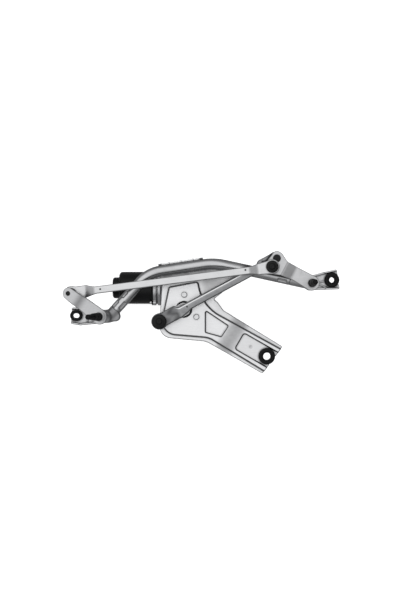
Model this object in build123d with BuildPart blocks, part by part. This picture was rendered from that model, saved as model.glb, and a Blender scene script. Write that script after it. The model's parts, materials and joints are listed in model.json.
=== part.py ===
from build123d import *
import math
import os

# Windshield wiper assembly: a front wiper motor and linkage on its tube frame.
# The frame's own axes: origin in the centre bush of the motor plate, +Z out of the
# plate towards the wiper arms, +X along the tube towards the right-hand spindle.
# All lengths are in millimetres, and the linkage is drawn parked.

# ---------------------------------------------------------------- driving dimensions
SHEET = 2.0                    # motor plate thickness
PLATEAU_TOP = 14.0             # front face of the motor plate's raised middle
FLANGE_DROP = 6.0              # height of the step around the raised middle
ARM_DROP = 10.0                # how far the plate's arm is cranked back
EMBOSS = 3.0                   # depth of the two stiffening recesses
ARM_ANGLE = -31.0              # direction of the plate's arm in plan
ARM_BEND_FAR = -96.0           # the arm's bend starts here, measured along the arm
ARM_BEND_NEAR = -68.0          # and ends here

TUBE_R = 11.0                  # frame tube
TUBE_WALL = 1.5
TUBE_Z = 19.0
TUBE_ROUTE = [(-303.0, 94.0), (-236.5, 167.5), (-106.0, 186.9), (45.3, 153.7)]
TUBE_BENDS = [70.0, 120.0]
CORE_R = 9.3                   # spigots of the housings inside the tube
SPIGOT = 45.0

SHAFT_XY = (-166.5, 94.4)      # output shaft of the gear motor
SHAFT_R = 6.0
MOTOR_Y = 137.8                # motor shaft, level with the worm
MOTOR_Z = -32.0
YOKE_R = 32.6
YOKE_X = (-298.0, -229.0)      # back and mouth of the motor can
YOKE_NOSE_X = -311.5
FLANGE_X = -214.0              # end of the motor flange on the gear housing

CRANK_THROW = 54.0             # motor crank, shaft to ball
CRANK_PARK = 206.5             # its parked direction
BALL_R = 8.0
DRIVE_BALL_Z = 39.0

CRANK_SHEET = 4.0              # spindle crank thickness
SPINDLE_R = 5.0
SPINDLE_RISE = 58.0            # crank to the tip of the spindle cap
RIGHT_TILT_X, RIGHT_TILT_Y = 2.4, 1.6
RIGHT_HUB = (87.0, 146.5, 41.0)
RIGHT_JOGGLE = 9.0
LEFT_TILT = 20.0
LEFT_HUB = (-332.0, 80.0, 52.0)
LEFT_JOGGLE = 8.0
BALL_REACH = 12.5              # ball centre to the middle of the crank plate it is riveted to
LEFT_REACH = 14.5              # the same for the left crank, whose tilt needs more room
BALL_A = (-70.3, 48.3)         # drive rod's ball, seen along the right spindle
BALL_B = (-80.6, 31.2)         # link rod's ball, seen along the right spindle
BALL_C = (-64.4, 45.9)         # link rod's ball, seen along the left spindle

CENTRE_BUSH_R, CENTRE_BORE_R = 16.5, 7.5
RIGHT_BUSH_XY = (128.9, 153.0)
RIGHT_BUSH_R, RIGHT_BORE_R = 15.0, 5.4
LEFT_BUSH_XY = (-381.3, 81.8)
LEFT_BUSH = (25.0, 21.4)       # oval rubber, length and width
LEFT_SLOT = (13.4, 9.0)        # oval hole
EAR_Z = (11.5, 16.5)           # the housings' ears that hold the outer bushes
FIT = 0.05                     # running clearance of shafts in bearings
GAP = 0.4                      # clearance where two moving pieces pass

# ---------------------------------------------------------------- planes
right_spindle_axis = Vector(
    math.tan(math.radians(RIGHT_TILT_X)), math.tan(math.radians(RIGHT_TILT_Y)), 1
).normalized()
left_spindle_axis = Vector(-math.sin(math.radians(LEFT_TILT)), 0, math.cos(math.radians(LEFT_TILT)))


def hub_plane(centre, axis):
    """A plane square to a spindle, its local x as near +X as it can be."""
    return Plane(origin=centre, x_dir=Vector(0, 1, 0).cross(axis), z_dir=axis)


RIGHT = hub_plane(RIGHT_HUB, right_spindle_axis)
LEFT = hub_plane(LEFT_HUB, left_spindle_axis)


def flat(x, y, z):
    """A level plane with its origin at a point."""
    return Plane(origin=(x, y, z))


def side_of(plane):
    """The plane through another one's axis: local x stays, local y is its normal."""
    return Plane(origin=plane.origin, x_dir=plane.x_dir, z_dir=-plane.y_dir)


def point_in(plane, x, y, z):
    """Where a point given in a plane's own axes lies in the frame."""
    return plane.from_local_coords(Vector(x, y, z))


def along(angle, origin=(0, 0, 0)):
    """An upright plane whose local x runs at an angle in plan and local y is up."""
    heading = Vector(math.cos(math.radians(angle)), math.sin(math.radians(angle)), 0)
    return Plane(origin=origin, x_dir=heading, z_dir=heading.cross(Vector(0, 0, 1)))


ball_b2 = (
    SHAFT_XY[0] + CRANK_THROW * math.cos(math.radians(CRANK_PARK)),
    SHAFT_XY[1] + CRANK_THROW * math.sin(math.radians(CRANK_PARK)),
    DRIVE_BALL_Z,
)
ball_a = point_in(RIGHT, *BALL_A, RIGHT_JOGGLE - BALL_REACH)
ball_b = point_in(RIGHT, *BALL_B, RIGHT_JOGGLE + BALL_REACH)
ball_c = point_in(LEFT, *BALL_C, LEFT_JOGGLE - LEFT_REACH)
OUTPUT = flat(*SHAFT_XY, 0)
WORM = Plane(origin=(0, MOTOR_Y, MOTOR_Z), x_dir=(0, 1, 0), z_dir=(1, 0, 0))


# ---------------------------------------------------------------- shapes used often
def disc(plane, radius, low, high, mode=Mode.ADD):
    """A round length of bar or bore along a plane's normal."""
    with BuildSketch(plane.offset(low)) as section:
        Circle(radius)
    extrude(section.sketch, amount=high - low, mode=mode)


def ring(plane, outer, inner, low, high):
    """A round sleeve along a plane's normal."""
    with BuildSketch(plane.offset(low)) as section:
        Circle(outer)
        Circle(inner, mode=Mode.SUBTRACT)
    extrude(section.sketch, amount=high - low)


def turned(plane, profile, mode=Mode.ADD):
    """A turned piece: points are (radius, height) along a plane's normal."""
    with BuildSketch(side_of(plane)) as section:
        with BuildLine():
            Polyline(*profile, close=True)
        make_face()
    revolve(section.sketch, axis=Axis(plane.origin, plane.z_dir), mode=mode)


def block(low, high, mode=Mode.ADD):
    """A box between two corners."""
    with BuildSketch(flat((low[0] + high[0]) / 2, (low[1] + high[1]) / 2, low[2])) as section:
        Rectangle(high[0] - low[0], high[1] - low[1])
    extrude(section.sketch, amount=high[2] - low[2], mode=mode)


def slab(points, low, high, mode=Mode.ADD):
    """A plate with straight edges, seen in plan."""
    with BuildSketch(Plane.XY.offset(low)) as section:
        with BuildLine():
            Polyline(*points, close=True)
        make_face()
    extrude(section.sketch, amount=high - low, mode=mode)


def rib(start, end, width, low, high):
    """An upright rib between two points in plan, with round ends."""
    with BuildSketch(Plane.XY.offset(low)) as section:
        with BuildLine():
            Line(start, end)
        trace(line_width=width)
    extrude(section.sketch, amount=high - low)


def finish(piece, name):
    """Name a piece and write it."""
    piece.part.label = name
    export_step(piece.part, f"parts/{name}.step")


os.makedirs("parts", exist_ok=True)

# ---------------------------------------------------------------- motor plate
ARM = along(ARM_ANGLE)
ARM_REACH = 80.0
PLATE_REACH = 340.0
ARM_TOP = PLATEAU_TOP - ARM_DROP


def pressed(region, drop, depth):
    """The part of the cranked sheet over a region: its top lies drop below the plateau."""
    top = PLATEAU_TOP - drop
    arm = ARM_TOP - drop
    with BuildPart() as layer:
        with BuildSketch(Plane.XY.offset(-40)):
            add(region)
        extrude(amount=80)
        with BuildSketch(ARM):
            with BuildLine():
                Polyline(
                    (-PLATE_REACH, top), (ARM_BEND_FAR, top), (ARM_BEND_NEAR, arm), (ARM_REACH, arm),
                    (ARM_REACH, arm - depth), (ARM_BEND_NEAR, arm - depth),
                    (ARM_BEND_FAR, top - depth), (-PLATE_REACH, top - depth), close=True,
                )
            make_face()
        extrude(amount=PLATE_REACH, both=True, mode=Mode.INTERSECT)
    return layer.part


def outline(points, radii):
    """A closed outline with rounded corners."""
    with BuildSketch() as shape:
        with BuildLine():
            FilletPolyline(*points, radius=radii, close=True)
        make_face()
    return shape.sketch


def band(region, width):
    """The strip just inside an outline."""
    with BuildSketch() as strip:
        add(region)
        offset(region, amount=-width, mode=Mode.SUBTRACT)
    return strip.sketch


def keyhole(centre, radius, width, angle, length):
    """A round seat for a bush that opens to one side."""
    with BuildSketch() as seat:
        with Locations(centre):
            Circle(radius)
        with BuildLine():
            Line(centre, Vector(*centre) + Vector(length, 0).rotate(Axis.Z, angle))
        trace(line_width=width)
    return seat.sketch


plate_edge = outline(
    [(-217, 38), (-208.5, 171.9), (-108, 186.5), (-56, 180), (-111.5, 106.7), (32.7, 19.4), (-8.6, -35.9),
     (-122.3, 29.5)],
    [25, 2, 40, 4, 26, 3, 3, 40],
)
plateau_edge = outline(
    [(-218, 44.5), (-197.6, 140.2), (-137.5, 151.6), (-127, 101.5), (50, 4.2), (20, -47.6), (-117, 36)],
    [30, 6, 6, 80, 2, 2, 40],
)
trapezoid_edge = outline([(-125, 95), (-75, 61.5), (-91, 37.5), (-125, 47)], [4, 4, 4, 4])
tongue_edge = outline(
    [(-46.5, 49), (45, -3.5), (19, -35), (-66.5, 14.5)],
    [7, 2, 2, 7],
)
with BuildSketch() as plateau_region:
    add(plateau_edge)
    add(plate_edge, mode=Mode.INTERSECT)
with BuildSketch() as flange_region:
    add(plate_edge)
    offset(plateau_edge, amount=-SHEET, mode=Mode.SUBTRACT)
with BuildSketch() as step_region:
    add(band(plateau_edge, SHEET))
    add(plate_edge, mode=Mode.INTERSECT)
with BuildSketch() as tongue_region:
    add(tongue_edge)
    add(plate_edge, mode=Mode.INTERSECT)
with BuildSketch() as tongue_step:
    add(band(tongue_edge, SHEET))
    add(plate_edge, mode=Mode.INTERSECT)
bush_seat = keyhole((0, 0), CENTRE_BUSH_R - 5.5, 20, ARM_ANGLE - 5, 40)
SADDLE = Plane(origin=(-171.25, 177.2, TUBE_Z), x_dir=(-0.1470, 0.9891, 0), z_dir=(0.9891, 0.1470, 0))
SADDLE_LENGTH = 84.0
BOSS_HOLE_R = 16.2
BOLT_HOLE_R = 3.3
BOLT_R = 3.0
BOLT_CIRCLE = 29.2
BOLT_ANGLES = [88.5, 208.5, 328.5]
bolt_places = [
    (SHAFT_XY[0] + BOLT_CIRCLE * math.cos(math.radians(a)),
     SHAFT_XY[1] + BOLT_CIRCLE * math.sin(math.radians(a)))
    for a in BOLT_ANGLES
]

with BuildPart() as motor_plate:
    add(pressed(flange_region.sketch, FLANGE_DROP, SHEET))
    add(pressed(plateau_region.sketch, 0, SHEET))
    add(pressed(step_region.sketch, 0, FLANGE_DROP + SHEET))
    for recess, step in [(trapezoid_edge, band(trapezoid_edge, SHEET)),
                         (tongue_region.sketch, tongue_step.sketch)]:
        add(pressed(recess, -1, SHEET + 2), mode=Mode.SUBTRACT)
        add(pressed(recess, EMBOSS, SHEET))
        add(pressed(step, 0, EMBOSS + SHEET))
    with BuildSketch(Plane.XY.offset(-10)):
        add(bush_seat)
    extrude(amount=16, mode=Mode.SUBTRACT)
    disc(OUTPUT, BOSS_HOLE_R, 0, 20, mode=Mode.SUBTRACT)
    for x, y in bolt_places:
        disc(flat(x, y, 0), BOLT_HOLE_R, 0, 20, mode=Mode.SUBTRACT)
    with BuildSketch(SADDLE.offset(-SADDLE_LENGTH / 2)):
        Circle(TUBE_R + SHEET)
        Circle(TUBE_R, mode=Mode.SUBTRACT)
        with Locations((-20, 0), (0, 20)):
            Rectangle(40, 40, mode=Mode.SUBTRACT)
        with Locations((TUBE_R + SHEET / 2, 1)):
            Rectangle(SHEET, 4)
    extrude(amount=SADDLE_LENGTH)
finish(motor_plate, "motor_plate")

# ---------------------------------------------------------------- frame tube
with BuildPart() as frame_tube:
    with BuildLine() as tube_line:
        FilletPolyline(*[(x, y, TUBE_Z) for x, y in TUBE_ROUTE], radius=TUBE_BENDS)
    with BuildSketch(Plane(origin=tube_line.line @ 0, z_dir=tube_line.line % 0)):
        Circle(TUBE_R)
        Circle(TUBE_R - TUBE_WALL, mode=Mode.SUBTRACT)
    sweep(path=tube_line.line)
finish(frame_tube, "frame_tube")

tube_left_end = tube_line.line @ 0
tube_left_heading = tube_line.line % 0
tube_right_end = tube_line.line @ 1
tube_right_heading = tube_line.line % 1
LEFT_SPIGOT = Plane(origin=tube_left_end, z_dir=tube_left_heading)
RIGHT_SPIGOT = Plane(origin=tube_right_end, z_dir=-tube_right_heading)

# ---------------------------------------------------------------- bearing housings
BOSS_R = 12.5
BOSS_BORE_R = 7.5
BOSS_TOP = -4.5
BOSS_BOTTOM = -44.0
RIB = 3.5
RIB_Z = (5.0, 23.0)
EAR_SEAT_R = 10.0

with BuildPart() as right_housing:
    slab([(80, 133), (131, 134.4), (146, 135.2), (140, 173.8), (91, 161), (80, 158)], *EAR_Z)
    with BuildSketch(Plane.XY):
        add(keyhole(RIGHT_BUSH_XY, EAR_SEAT_R, 17, 0, 30))
    extrude(amount=30, mode=Mode.SUBTRACT)
    rib((80, 135), (114, 135.6), RIB, *RIB_Z)
    rib((114, 135.6), (144, 136), RIB, 8, 20)
    rib((88, 159.5), (113, 167.3), RIB, *RIB_Z)
    rib((113, 167.3), (138, 173), RIB, 8, 20)
    rib((96, 149), (112, 151), RIB, 8, 20)
    disc(RIGHT, BOSS_R, BOSS_BOTTOM, BOSS_TOP)
    disc(RIGHT_SPIGOT, TUBE_R, -46, -0.2)
    disc(RIGHT_SPIGOT, CORE_R, -1, SPIGOT)
    disc(RIGHT, BOSS_BORE_R, BOSS_BOTTOM - 5, BOSS_TOP + 5, mode=Mode.SUBTRACT)
finish(right_housing, "right_housing")

LEFT_EAR_SEAT = (17.0, 13.4)
CLIP_WELL_R = 9.0              # room under the left boss for the spindle clip
with BuildPart() as left_housing:
    slab([(-393, 65.5), (-374, 61.5), (-338, 65.5), (-318, 69), (-318, 92), (-350, 98), (-391, 98)],
         *EAR_Z)
    with BuildSketch(flat(*LEFT_BUSH_XY, 0)):
        SlotOverall(*LEFT_EAR_SEAT)
        with Locations((-15, 0)):
            Rectangle(30, 11)
    extrude(amount=30, mode=Mode.SUBTRACT)
    rib((-392, 66.5), (-374, 64), RIB, 8, 20)
    rib((-374, 64), (-318, 70), RIB, *RIB_Z)
    rib((-390, 97), (-370, 97), RIB, 8, 20)
    rib((-370, 97), (-345, 96), RIB, *RIB_Z)
    disc(LEFT, BOSS_R, BOSS_BOTTOM, BOSS_TOP)
    with BuildSketch(Plane.XY.offset(9.5)):
        with BuildLine():
            Line((-322, 80.5), (-303.5, 80.5))
        trace(line_width=21)
    extrude(amount=18)
    disc(LEFT_SPIGOT, TUBE_R, -14, -0.2)
    disc(LEFT_SPIGOT, CORE_R, -1, SPIGOT)
    disc(LEFT, CLIP_WELL_R, BOSS_BOTTOM - 15, BOSS_BOTTOM, mode=Mode.SUBTRACT)
    disc(LEFT, BOSS_BORE_R, BOSS_BOTTOM - 5, BOSS_TOP + 5, mode=Mode.SUBTRACT)
finish(left_housing, "left_housing")

# ---------------------------------------------------------------- rubber bushes and their sleeves
SLEEVE_WALL = 1.6


def round_bush(plane, outer, seat, sleeve, half_height, ear):
    """A grommet: two flanges that grip an ear, around a sleeve."""
    turned(plane, [
        (sleeve, -half_height + 0.8), (outer - 1.5, -half_height), (outer, -half_height + 1.5),
        (outer, -ear), (seat, -ear), (seat, ear), (outer, ear), (outer, half_height - 1.5),
        (outer - 1.5, half_height), (sleeve, half_height - 0.8),
    ])


with BuildPart() as centre_bush_rubber:
    round_bush(flat(0, 0, 0), CENTRE_BUSH_R, CENTRE_BUSH_R - 5.5, CENTRE_BORE_R + SLEEVE_WALL, 8, SHEET / 2)
finish(centre_bush_rubber, "centre_bush_rubber")

with BuildPart() as centre_bush_sleeve:
    ring(flat(0, 0, 0), CENTRE_BORE_R + SLEEVE_WALL, CENTRE_BORE_R, -8, 8)
finish(centre_bush_sleeve, "centre_bush_sleeve")

EAR_MIDDLE = (EAR_Z[0] + EAR_Z[1]) / 2
EAR_HALF = (EAR_Z[1] - EAR_Z[0]) / 2
with BuildPart() as right_bush_rubber:
    round_bush(flat(*RIGHT_BUSH_XY, EAR_MIDDLE), RIGHT_BUSH_R, EAR_SEAT_R,
               RIGHT_BORE_R + SLEEVE_WALL, 8.5, EAR_HALF)
finish(right_bush_rubber, "right_bush_rubber")

with BuildPart() as right_bush_sleeve:
    ring(flat(*RIGHT_BUSH_XY, EAR_MIDDLE), RIGHT_BORE_R + SLEEVE_WALL, RIGHT_BORE_R, -8.5, 8.5)
finish(right_bush_sleeve, "right_bush_sleeve")

with BuildPart() as left_bush_rubber:
    for low, high, size in [(-8.5, -EAR_HALF, LEFT_BUSH), (-EAR_HALF, EAR_HALF, LEFT_EAR_SEAT),
                            (EAR_HALF, 8.5, LEFT_BUSH)]:
        with BuildSketch(flat(*LEFT_BUSH_XY, EAR_MIDDLE + low)):
            SlotOverall(*size)
            SlotOverall(LEFT_SLOT[0] + 2 * SLEEVE_WALL, LEFT_SLOT[1] + 2 * SLEEVE_WALL,
                        mode=Mode.SUBTRACT)
        extrude(amount=high - low)
finish(left_bush_rubber, "left_bush_rubber")

with BuildPart() as left_bush_sleeve:
    with BuildSketch(flat(*LEFT_BUSH_XY, EAR_MIDDLE - 8.5)):
        SlotOverall(LEFT_SLOT[0] + 2 * SLEEVE_WALL, LEFT_SLOT[1] + 2 * SLEEVE_WALL)
        SlotOverall(*LEFT_SLOT, mode=Mode.SUBTRACT)
    extrude(amount=17)
finish(left_bush_sleeve, "left_bush_sleeve")

# ---------------------------------------------------------------- spindles
BEARING = 12.0                 # length of each plain bearing, two in each housing


def spindle_bearings(plane):
    """The two sintered bushes pressed into a housing."""
    ring(plane, BOSS_BORE_R, SPINDLE_R + FIT, BOSS_BOTTOM, BOSS_BOTTOM + BEARING)
    ring(plane, BOSS_BORE_R, SPINDLE_R + FIT, BOSS_TOP - BEARING, BOSS_TOP)


def spindle(plane):
    """Shaft, crank seat, tapered arm seat and threaded end, with a groove for the clip."""
    groove = BOSS_BOTTOM - 2.0
    turned(plane, [
        (0, BOSS_BOTTOM - 6), (SPINDLE_R - 0.8, BOSS_BOTTOM - 6), (SPINDLE_R, BOSS_BOTTOM - 5.2),
        (SPINDLE_R, groove - 0.6), (SPINDLE_R - 1, groove - 0.6), (SPINDLE_R - 1, groove + 0.6),
        (SPINDLE_R, groove + 0.6), (SPINDLE_R, -CRANK_SHEET / 2), (6.5, -CRANK_SHEET / 2),
        (6.5, 4.5), (5.8, 5.5), (5.8, 22), (4.9, 36), (4, 37), (4, 52), (3.2, 53), (0, 53),
    ])


def spindle_cap(plane):
    """The protective cap pushed over the arm seat and the thread."""
    turned(plane, [
        (5.9, 5.6), (8.2, 5.6), (8.2, 8), (7.7, 9), (7.5, 25), (5.6, 28), (5.2, 56.5), (4.4, SPINDLE_RISE),
        (0, SPINDLE_RISE), (0, 53.4), (4.05, 53.4), (4.05, 37.2), (5.0, 36.2), (5.9, 22.2),
    ])


def spindle_clip(plane):
    """Retaining clip and washer under the housing."""
    groove = BOSS_BOTTOM - 2.0
    ring(plane, 8.0, SPINDLE_R - 1, groove - 0.5, groove + 0.5)
    ring(plane, 7.0, SPINDLE_R + 0.1, groove + 0.5, BOSS_BOTTOM - GAP)


def thrust_washer(plane):
    """Plastic washer between housing and crank."""
    ring(plane, 11.0, SPINDLE_R + 0.1, BOSS_TOP + GAP, -CRANK_SHEET / 2 - 0.1)


for side, plane in [("right", RIGHT), ("left", LEFT)]:
    with BuildPart() as bearings:
        spindle_bearings(plane)
    finish(bearings, f"{side}_spindle_bearings")
    with BuildPart() as shaft:
        spindle(plane)
    finish(shaft, f"{side}_spindle")
    with BuildPart() as cap:
        spindle_cap(plane)
    finish(cap, f"{side}_spindle_cap")
    with BuildPart() as clip:
        spindle_clip(plane)
    finish(clip, f"{side}_spindle_clip")
    with BuildPart() as washer:
        thrust_washer(plane)
    finish(washer, f"{side}_thrust_washer")

# ---------------------------------------------------------------- spindle cranks
HUB_HOLE_R = 6.5
RIVET_R = 4.0


def joggled(region, plane, angle, start, stop, rise):
    """A crank blank: flat at the hub, then a ramp, then flat at the raised tip."""
    half = CRANK_SHEET / 2
    upright = Plane(
        origin=plane.origin,
        x_dir=plane.x_dir.rotate(Axis((0, 0, 0), plane.z_dir), angle),
        z_dir=plane.x_dir.rotate(Axis((0, 0, 0), plane.z_dir), angle).cross(plane.z_dir),
    )
    with BuildSketch(upright) as profile:
        with BuildLine():
            Polyline(
                (-25, -half), (start, -half), (stop, rise - half), (120, rise - half),
                (120, rise + half), (stop, rise + half), (start, half), (-25, half), close=True,
            )
        make_face()
    extrude(profile.sketch, amount=60, both=True)
    with BuildSketch(plane.offset(-30)) as blank:
        add(region)
    extrude(blank.sketch, amount=60, mode=Mode.INTERSECT)


with BuildSketch() as right_crank_edge:
    Circle(15)
    add(outline(
        [(4, 14.4), (-30, 32.2), (-49, 42), (-60, 58.5), (-72, 66), (-91, 46), (-96, 24), (-80, 17.5),
         (-62, 14.6), (-40, 7), (-6, -13.7)],
        [0, 20, 10, 10, 8, 12, 8, 20, 20, 20, 0],
    ))
with BuildPart() as right_crank:
    joggled(right_crank_edge.sketch, RIGHT, 152.3, 40.6, 61.4, RIGHT_JOGGLE)
    disc(RIGHT, HUB_HOLE_R, -10, 10, mode=Mode.SUBTRACT)
    for x, y in (BALL_A, BALL_B):
        disc(Plane(origin=point_in(RIGHT, x, y, 0), z_dir=RIGHT.z_dir), RIVET_R, 0, 20, mode=Mode.SUBTRACT)
finish(right_crank, "right_crank")

with BuildSketch() as left_crank_edge:
    Circle(15.5)
    with Locations(BALL_C):
        Circle(12)
    make_hull()
with BuildPart() as left_crank:
    joggled(left_crank_edge.sketch, LEFT, math.degrees(math.atan2(BALL_C[1], BALL_C[0])), 44, 60, LEFT_JOGGLE)
    disc(LEFT, HUB_HOLE_R, -10, 10, mode=Mode.SUBTRACT)
    disc(Plane(origin=point_in(LEFT, *BALL_C, 0), z_dir=LEFT.z_dir), RIVET_R, 0, 20, mode=Mode.SUBTRACT)
finish(left_crank, "left_crank")

# ---------------------------------------------------------------- ball studs and their rivets
NECK_R = 4.5
COLLAR_R = 5.6
COLLAR = 1.6                   # thickness of the collar
LEFT_GAP = 2.2                 # room for the left ball's stud, which leans as the crank turns


def ball_stud(plane, reach, gap):
    """A ball with a neck and a collar, which ends a gap short of the crank or is riveted through it."""
    face = reach - CRANK_SHEET / 2
    with Locations(plane.location):
        Sphere(BALL_R)
    disc(plane, NECK_R, 5, face - gap)
    disc(plane, COLLAR_R, face - gap - COLLAR, face - gap)
    if gap == 0:
        disc(plane, RIVET_R, 5, face + CRANK_SHEET)
        disc(plane, RIVET_R + 1, face + CRANK_SHEET, face + CRANK_SHEET + 1)


STUD_A = Plane(origin=ball_a, x_dir=RIGHT.x_dir, z_dir=RIGHT.z_dir)
STUD_B = Plane(origin=ball_b, x_dir=RIGHT.x_dir, z_dir=-RIGHT.z_dir)
STUD_C = Plane(origin=ball_c, x_dir=LEFT.x_dir, z_dir=LEFT.z_dir)
MOTOR_CRANK_Z = (20.0, 26.0)
STUD_B2 = Plane(origin=ball_b2, x_dir=(1, 0, 0), z_dir=(0, 0, -1))

for name, plane, reach, gap in [("drive_rod_far_stud", STUD_A, BALL_REACH, GAP),
                                ("link_rod_left_stud", STUD_C, LEFT_REACH, LEFT_GAP),
                                ("right_crank_stud", STUD_B, BALL_REACH, 0)]:
    with BuildPart() as stud:
        ball_stud(plane, reach, gap)
    finish(stud, name)

for name, plane, reach, head_r in [("right_crank_rivet", STUD_A, BALL_REACH, 7.8),
                                   ("left_crank_rivet", STUD_C, LEFT_REACH, 4.6)]:
    back = reach - CRANK_SHEET / 2
    front = reach + CRANK_SHEET / 2
    with BuildPart() as rivet_head:
        disc(plane, RIVET_R, back, front)
        turned(plane, [(0, front), (head_r, front), (head_r, front + 0.5), (head_r - 1, front + 1.3),
                       (0, front + 1.5)])
    finish(rivet_head, name)

# ---------------------------------------------------------------- motor crank
with BuildSketch() as motor_crank_edge:
    with Locations(SHAFT_XY):
        Circle(13)
    with Locations((ball_b2[0], ball_b2[1])):
        Circle(10)
    make_hull()
with BuildPart() as motor_crank:
    with BuildSketch(Plane.XY.offset(MOTOR_CRANK_Z[0])):
        add(motor_crank_edge.sketch)
    extrude(amount=MOTOR_CRANK_Z[1] - MOTOR_CRANK_Z[0])
    disc(OUTPUT, SHAFT_R - 0.5, 0, 40, mode=Mode.SUBTRACT)
    disc(flat(*ball_b2[:2], 0), RIVET_R, 0, 40, mode=Mode.SUBTRACT)
finish(motor_crank, "motor_crank")

with BuildPart() as motor_crank_stud:
    with Locations(ball_b2):
        Sphere(BALL_R)
    disc(STUD_B2, NECK_R, 5, DRIVE_BALL_Z - MOTOR_CRANK_Z[1])
    disc(STUD_B2, COLLAR_R, DRIVE_BALL_Z - MOTOR_CRANK_Z[1] - 1.6, DRIVE_BALL_Z - MOTOR_CRANK_Z[1])
    disc(STUD_B2, RIVET_R, 5, DRIVE_BALL_Z - MOTOR_CRANK_Z[0] + 0.8)
finish(motor_crank_stud, "motor_crank_stud")

with BuildPart() as output_shaft:
    turned(OUTPUT, [
        (0, -40), (SHAFT_R, -40), (SHAFT_R, 18.5), (SHAFT_R - 0.5, 20), (SHAFT_R - 0.5, 25.5),
        (4.9, 26), (4.9, 32), (4.2, 32.6), (0, 32.6),
    ])
finish(output_shaft, "output_shaft")

with BuildPart() as crank_nut:
    with BuildSketch(OUTPUT.offset(MOTOR_CRANK_Z[1])):
        RegularPolygon(8.5, 6, major_radius=False)
        Circle(5, mode=Mode.SUBTRACT)
    extrude(amount=5)
finish(crank_nut, "crank_nut")

# ---------------------------------------------------------------- rods
ROD_WALL = 2.0


def drive_rod_region(inset):
    """The drive rod in plan: a wide end over the motor crank, a bar and a wide far end."""
    start = Vector(ball_b2[0], ball_b2[1])
    stop = Vector(ball_a.X, ball_a.Y)
    run = (stop - start).normalized()
    across = run.rotate(Axis.Z, 90)
    wide = 14 - inset
    narrow = 8 - inset
    half = [(0, wide), (44, wide), (56, narrow)]
    half += [((stop - start).length - back, width) for back, width in [(42, narrow), (32, wide), (0, wide)]]
    with BuildSketch() as shape:
        with Locations(start):
            Circle(16 - inset)
        with Locations(stop):
            Circle(14 - inset)
        with BuildLine():
            Polyline(
                *[start + run * s + across * t for s, t in half],
                *[start + run * s - across * t for s, t in reversed(half)], close=True,
            )
        make_face()
    return shape.sketch


DRIVE_ROD_Z = (DRIVE_BALL_Z - 4, DRIVE_BALL_Z + 5)
SOCKET_R = 11.4
with BuildPart() as drive_rod:
    with BuildSketch(Plane.XY.offset(DRIVE_ROD_Z[0])):
        add(drive_rod_region(0))
    extrude(amount=DRIVE_ROD_Z[1] - DRIVE_ROD_Z[0])
    with BuildSketch(Plane.XY.offset(DRIVE_ROD_Z[0])):
        add(drive_rod_region(ROD_WALL))
    extrude(amount=DRIVE_ROD_Z[1] - DRIVE_ROD_Z[0] - ROD_WALL, mode=Mode.SUBTRACT)
    for x, y in [ball_b2[:2], (ball_a.X, ball_a.Y)]:
        disc(flat(x, y, 0), SOCKET_R, 30, 60, mode=Mode.SUBTRACT)
finish(drive_rod, "drive_rod")

LINK_Q1 = (-345.0, 133.6)
LINK_Q2 = (-36.0, 168.0)
link_run = Vector(ball_b.X - ball_c.X, ball_b.Y - ball_c.Y)
LINK_ANGLE = math.degrees(math.atan2(link_run.Y, link_run.X))
LINK_TOP_C = ball_c.Z + 5
LINK_TOP_B = ball_b.Z + 5
LINK_BAR_LEFT = 40.0           # height of the bar's top face at its two ends
LINK_BAR_RIGHT = 60.0
LINK_DEPTH = 8.0


def link_rod_region(inset):
    """The link rod in plan: two round ends and a bar that bends a little before each."""
    half = 6.7 - inset
    with BuildSketch() as shape:
        with Locations((ball_c.X, ball_c.Y)):
            Circle(15 - inset)
        with Locations((ball_b.X, ball_b.Y)):
            Circle(14.6 - inset)
        with BuildLine():
            Line(LINK_Q1, LINK_Q2)
        trace(line_width=2 * half)
        with BuildLine():
            Polyline(
                (ball_c.X, ball_c.Y + 13 - inset), (-361, 144 - inset), (LINK_Q1[0], LINK_Q1[1] + half),
                (LINK_Q1[0] + 2, LINK_Q1[1] - half), (-361, 121.5 + inset), (ball_c.X, ball_c.Y - 13 + inset),
                close=True,
            )
        make_face()
        with BuildLine():
            Polyline(
                (LINK_Q2[0], LINK_Q2[1] + half), (-23, 183.5 - inset), (ball_b.X, ball_b.Y + 14 - inset),
                (ball_b.X, ball_b.Y - 14 + inset), (-20, 162 + inset), (LINK_Q2[0], LINK_Q2[1] - half),
                close=True,
            )
        make_face()
    return shape.sketch


def link_layer(region, drop, depth):
    """The cranked bar over a region, its top drop below the rod's top faces."""
    reach = link_run.length
    tops = [(-25, LINK_TOP_C), (28, LINK_TOP_C), (48, LINK_BAR_LEFT), (reach - 46, LINK_BAR_RIGHT),
            (reach - 28, LINK_TOP_B), (reach + 25, LINK_TOP_B)]
    upper = [(s, z - drop) for s, z in tops]
    lower = [(s, z - drop - depth) for s, z in reversed(tops)]
    with BuildPart() as layer:
        with BuildSketch():
            add(region)
        extrude(amount=120)
        with BuildSketch(along(LINK_ANGLE, (ball_c.X, ball_c.Y, 0))):
            with BuildLine():
                Polyline(*upper, *lower, close=True)
            make_face()
        extrude(amount=60, both=True, mode=Mode.INTERSECT)
    return layer.part


with BuildPart() as link_rod:
    add(link_layer(link_rod_region(0), 0, LINK_DEPTH))
    add(link_layer(link_rod_region(ROD_WALL), ROD_WALL, LINK_DEPTH), mode=Mode.SUBTRACT)
    for x, y, z in [(ball_c.X, ball_c.Y, 0), (ball_b.X, ball_b.Y, 50)]:
        disc(flat(x, y, z), SOCKET_R, 0, 60, mode=Mode.SUBTRACT)
finish(link_rod, "link_rod")


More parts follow.
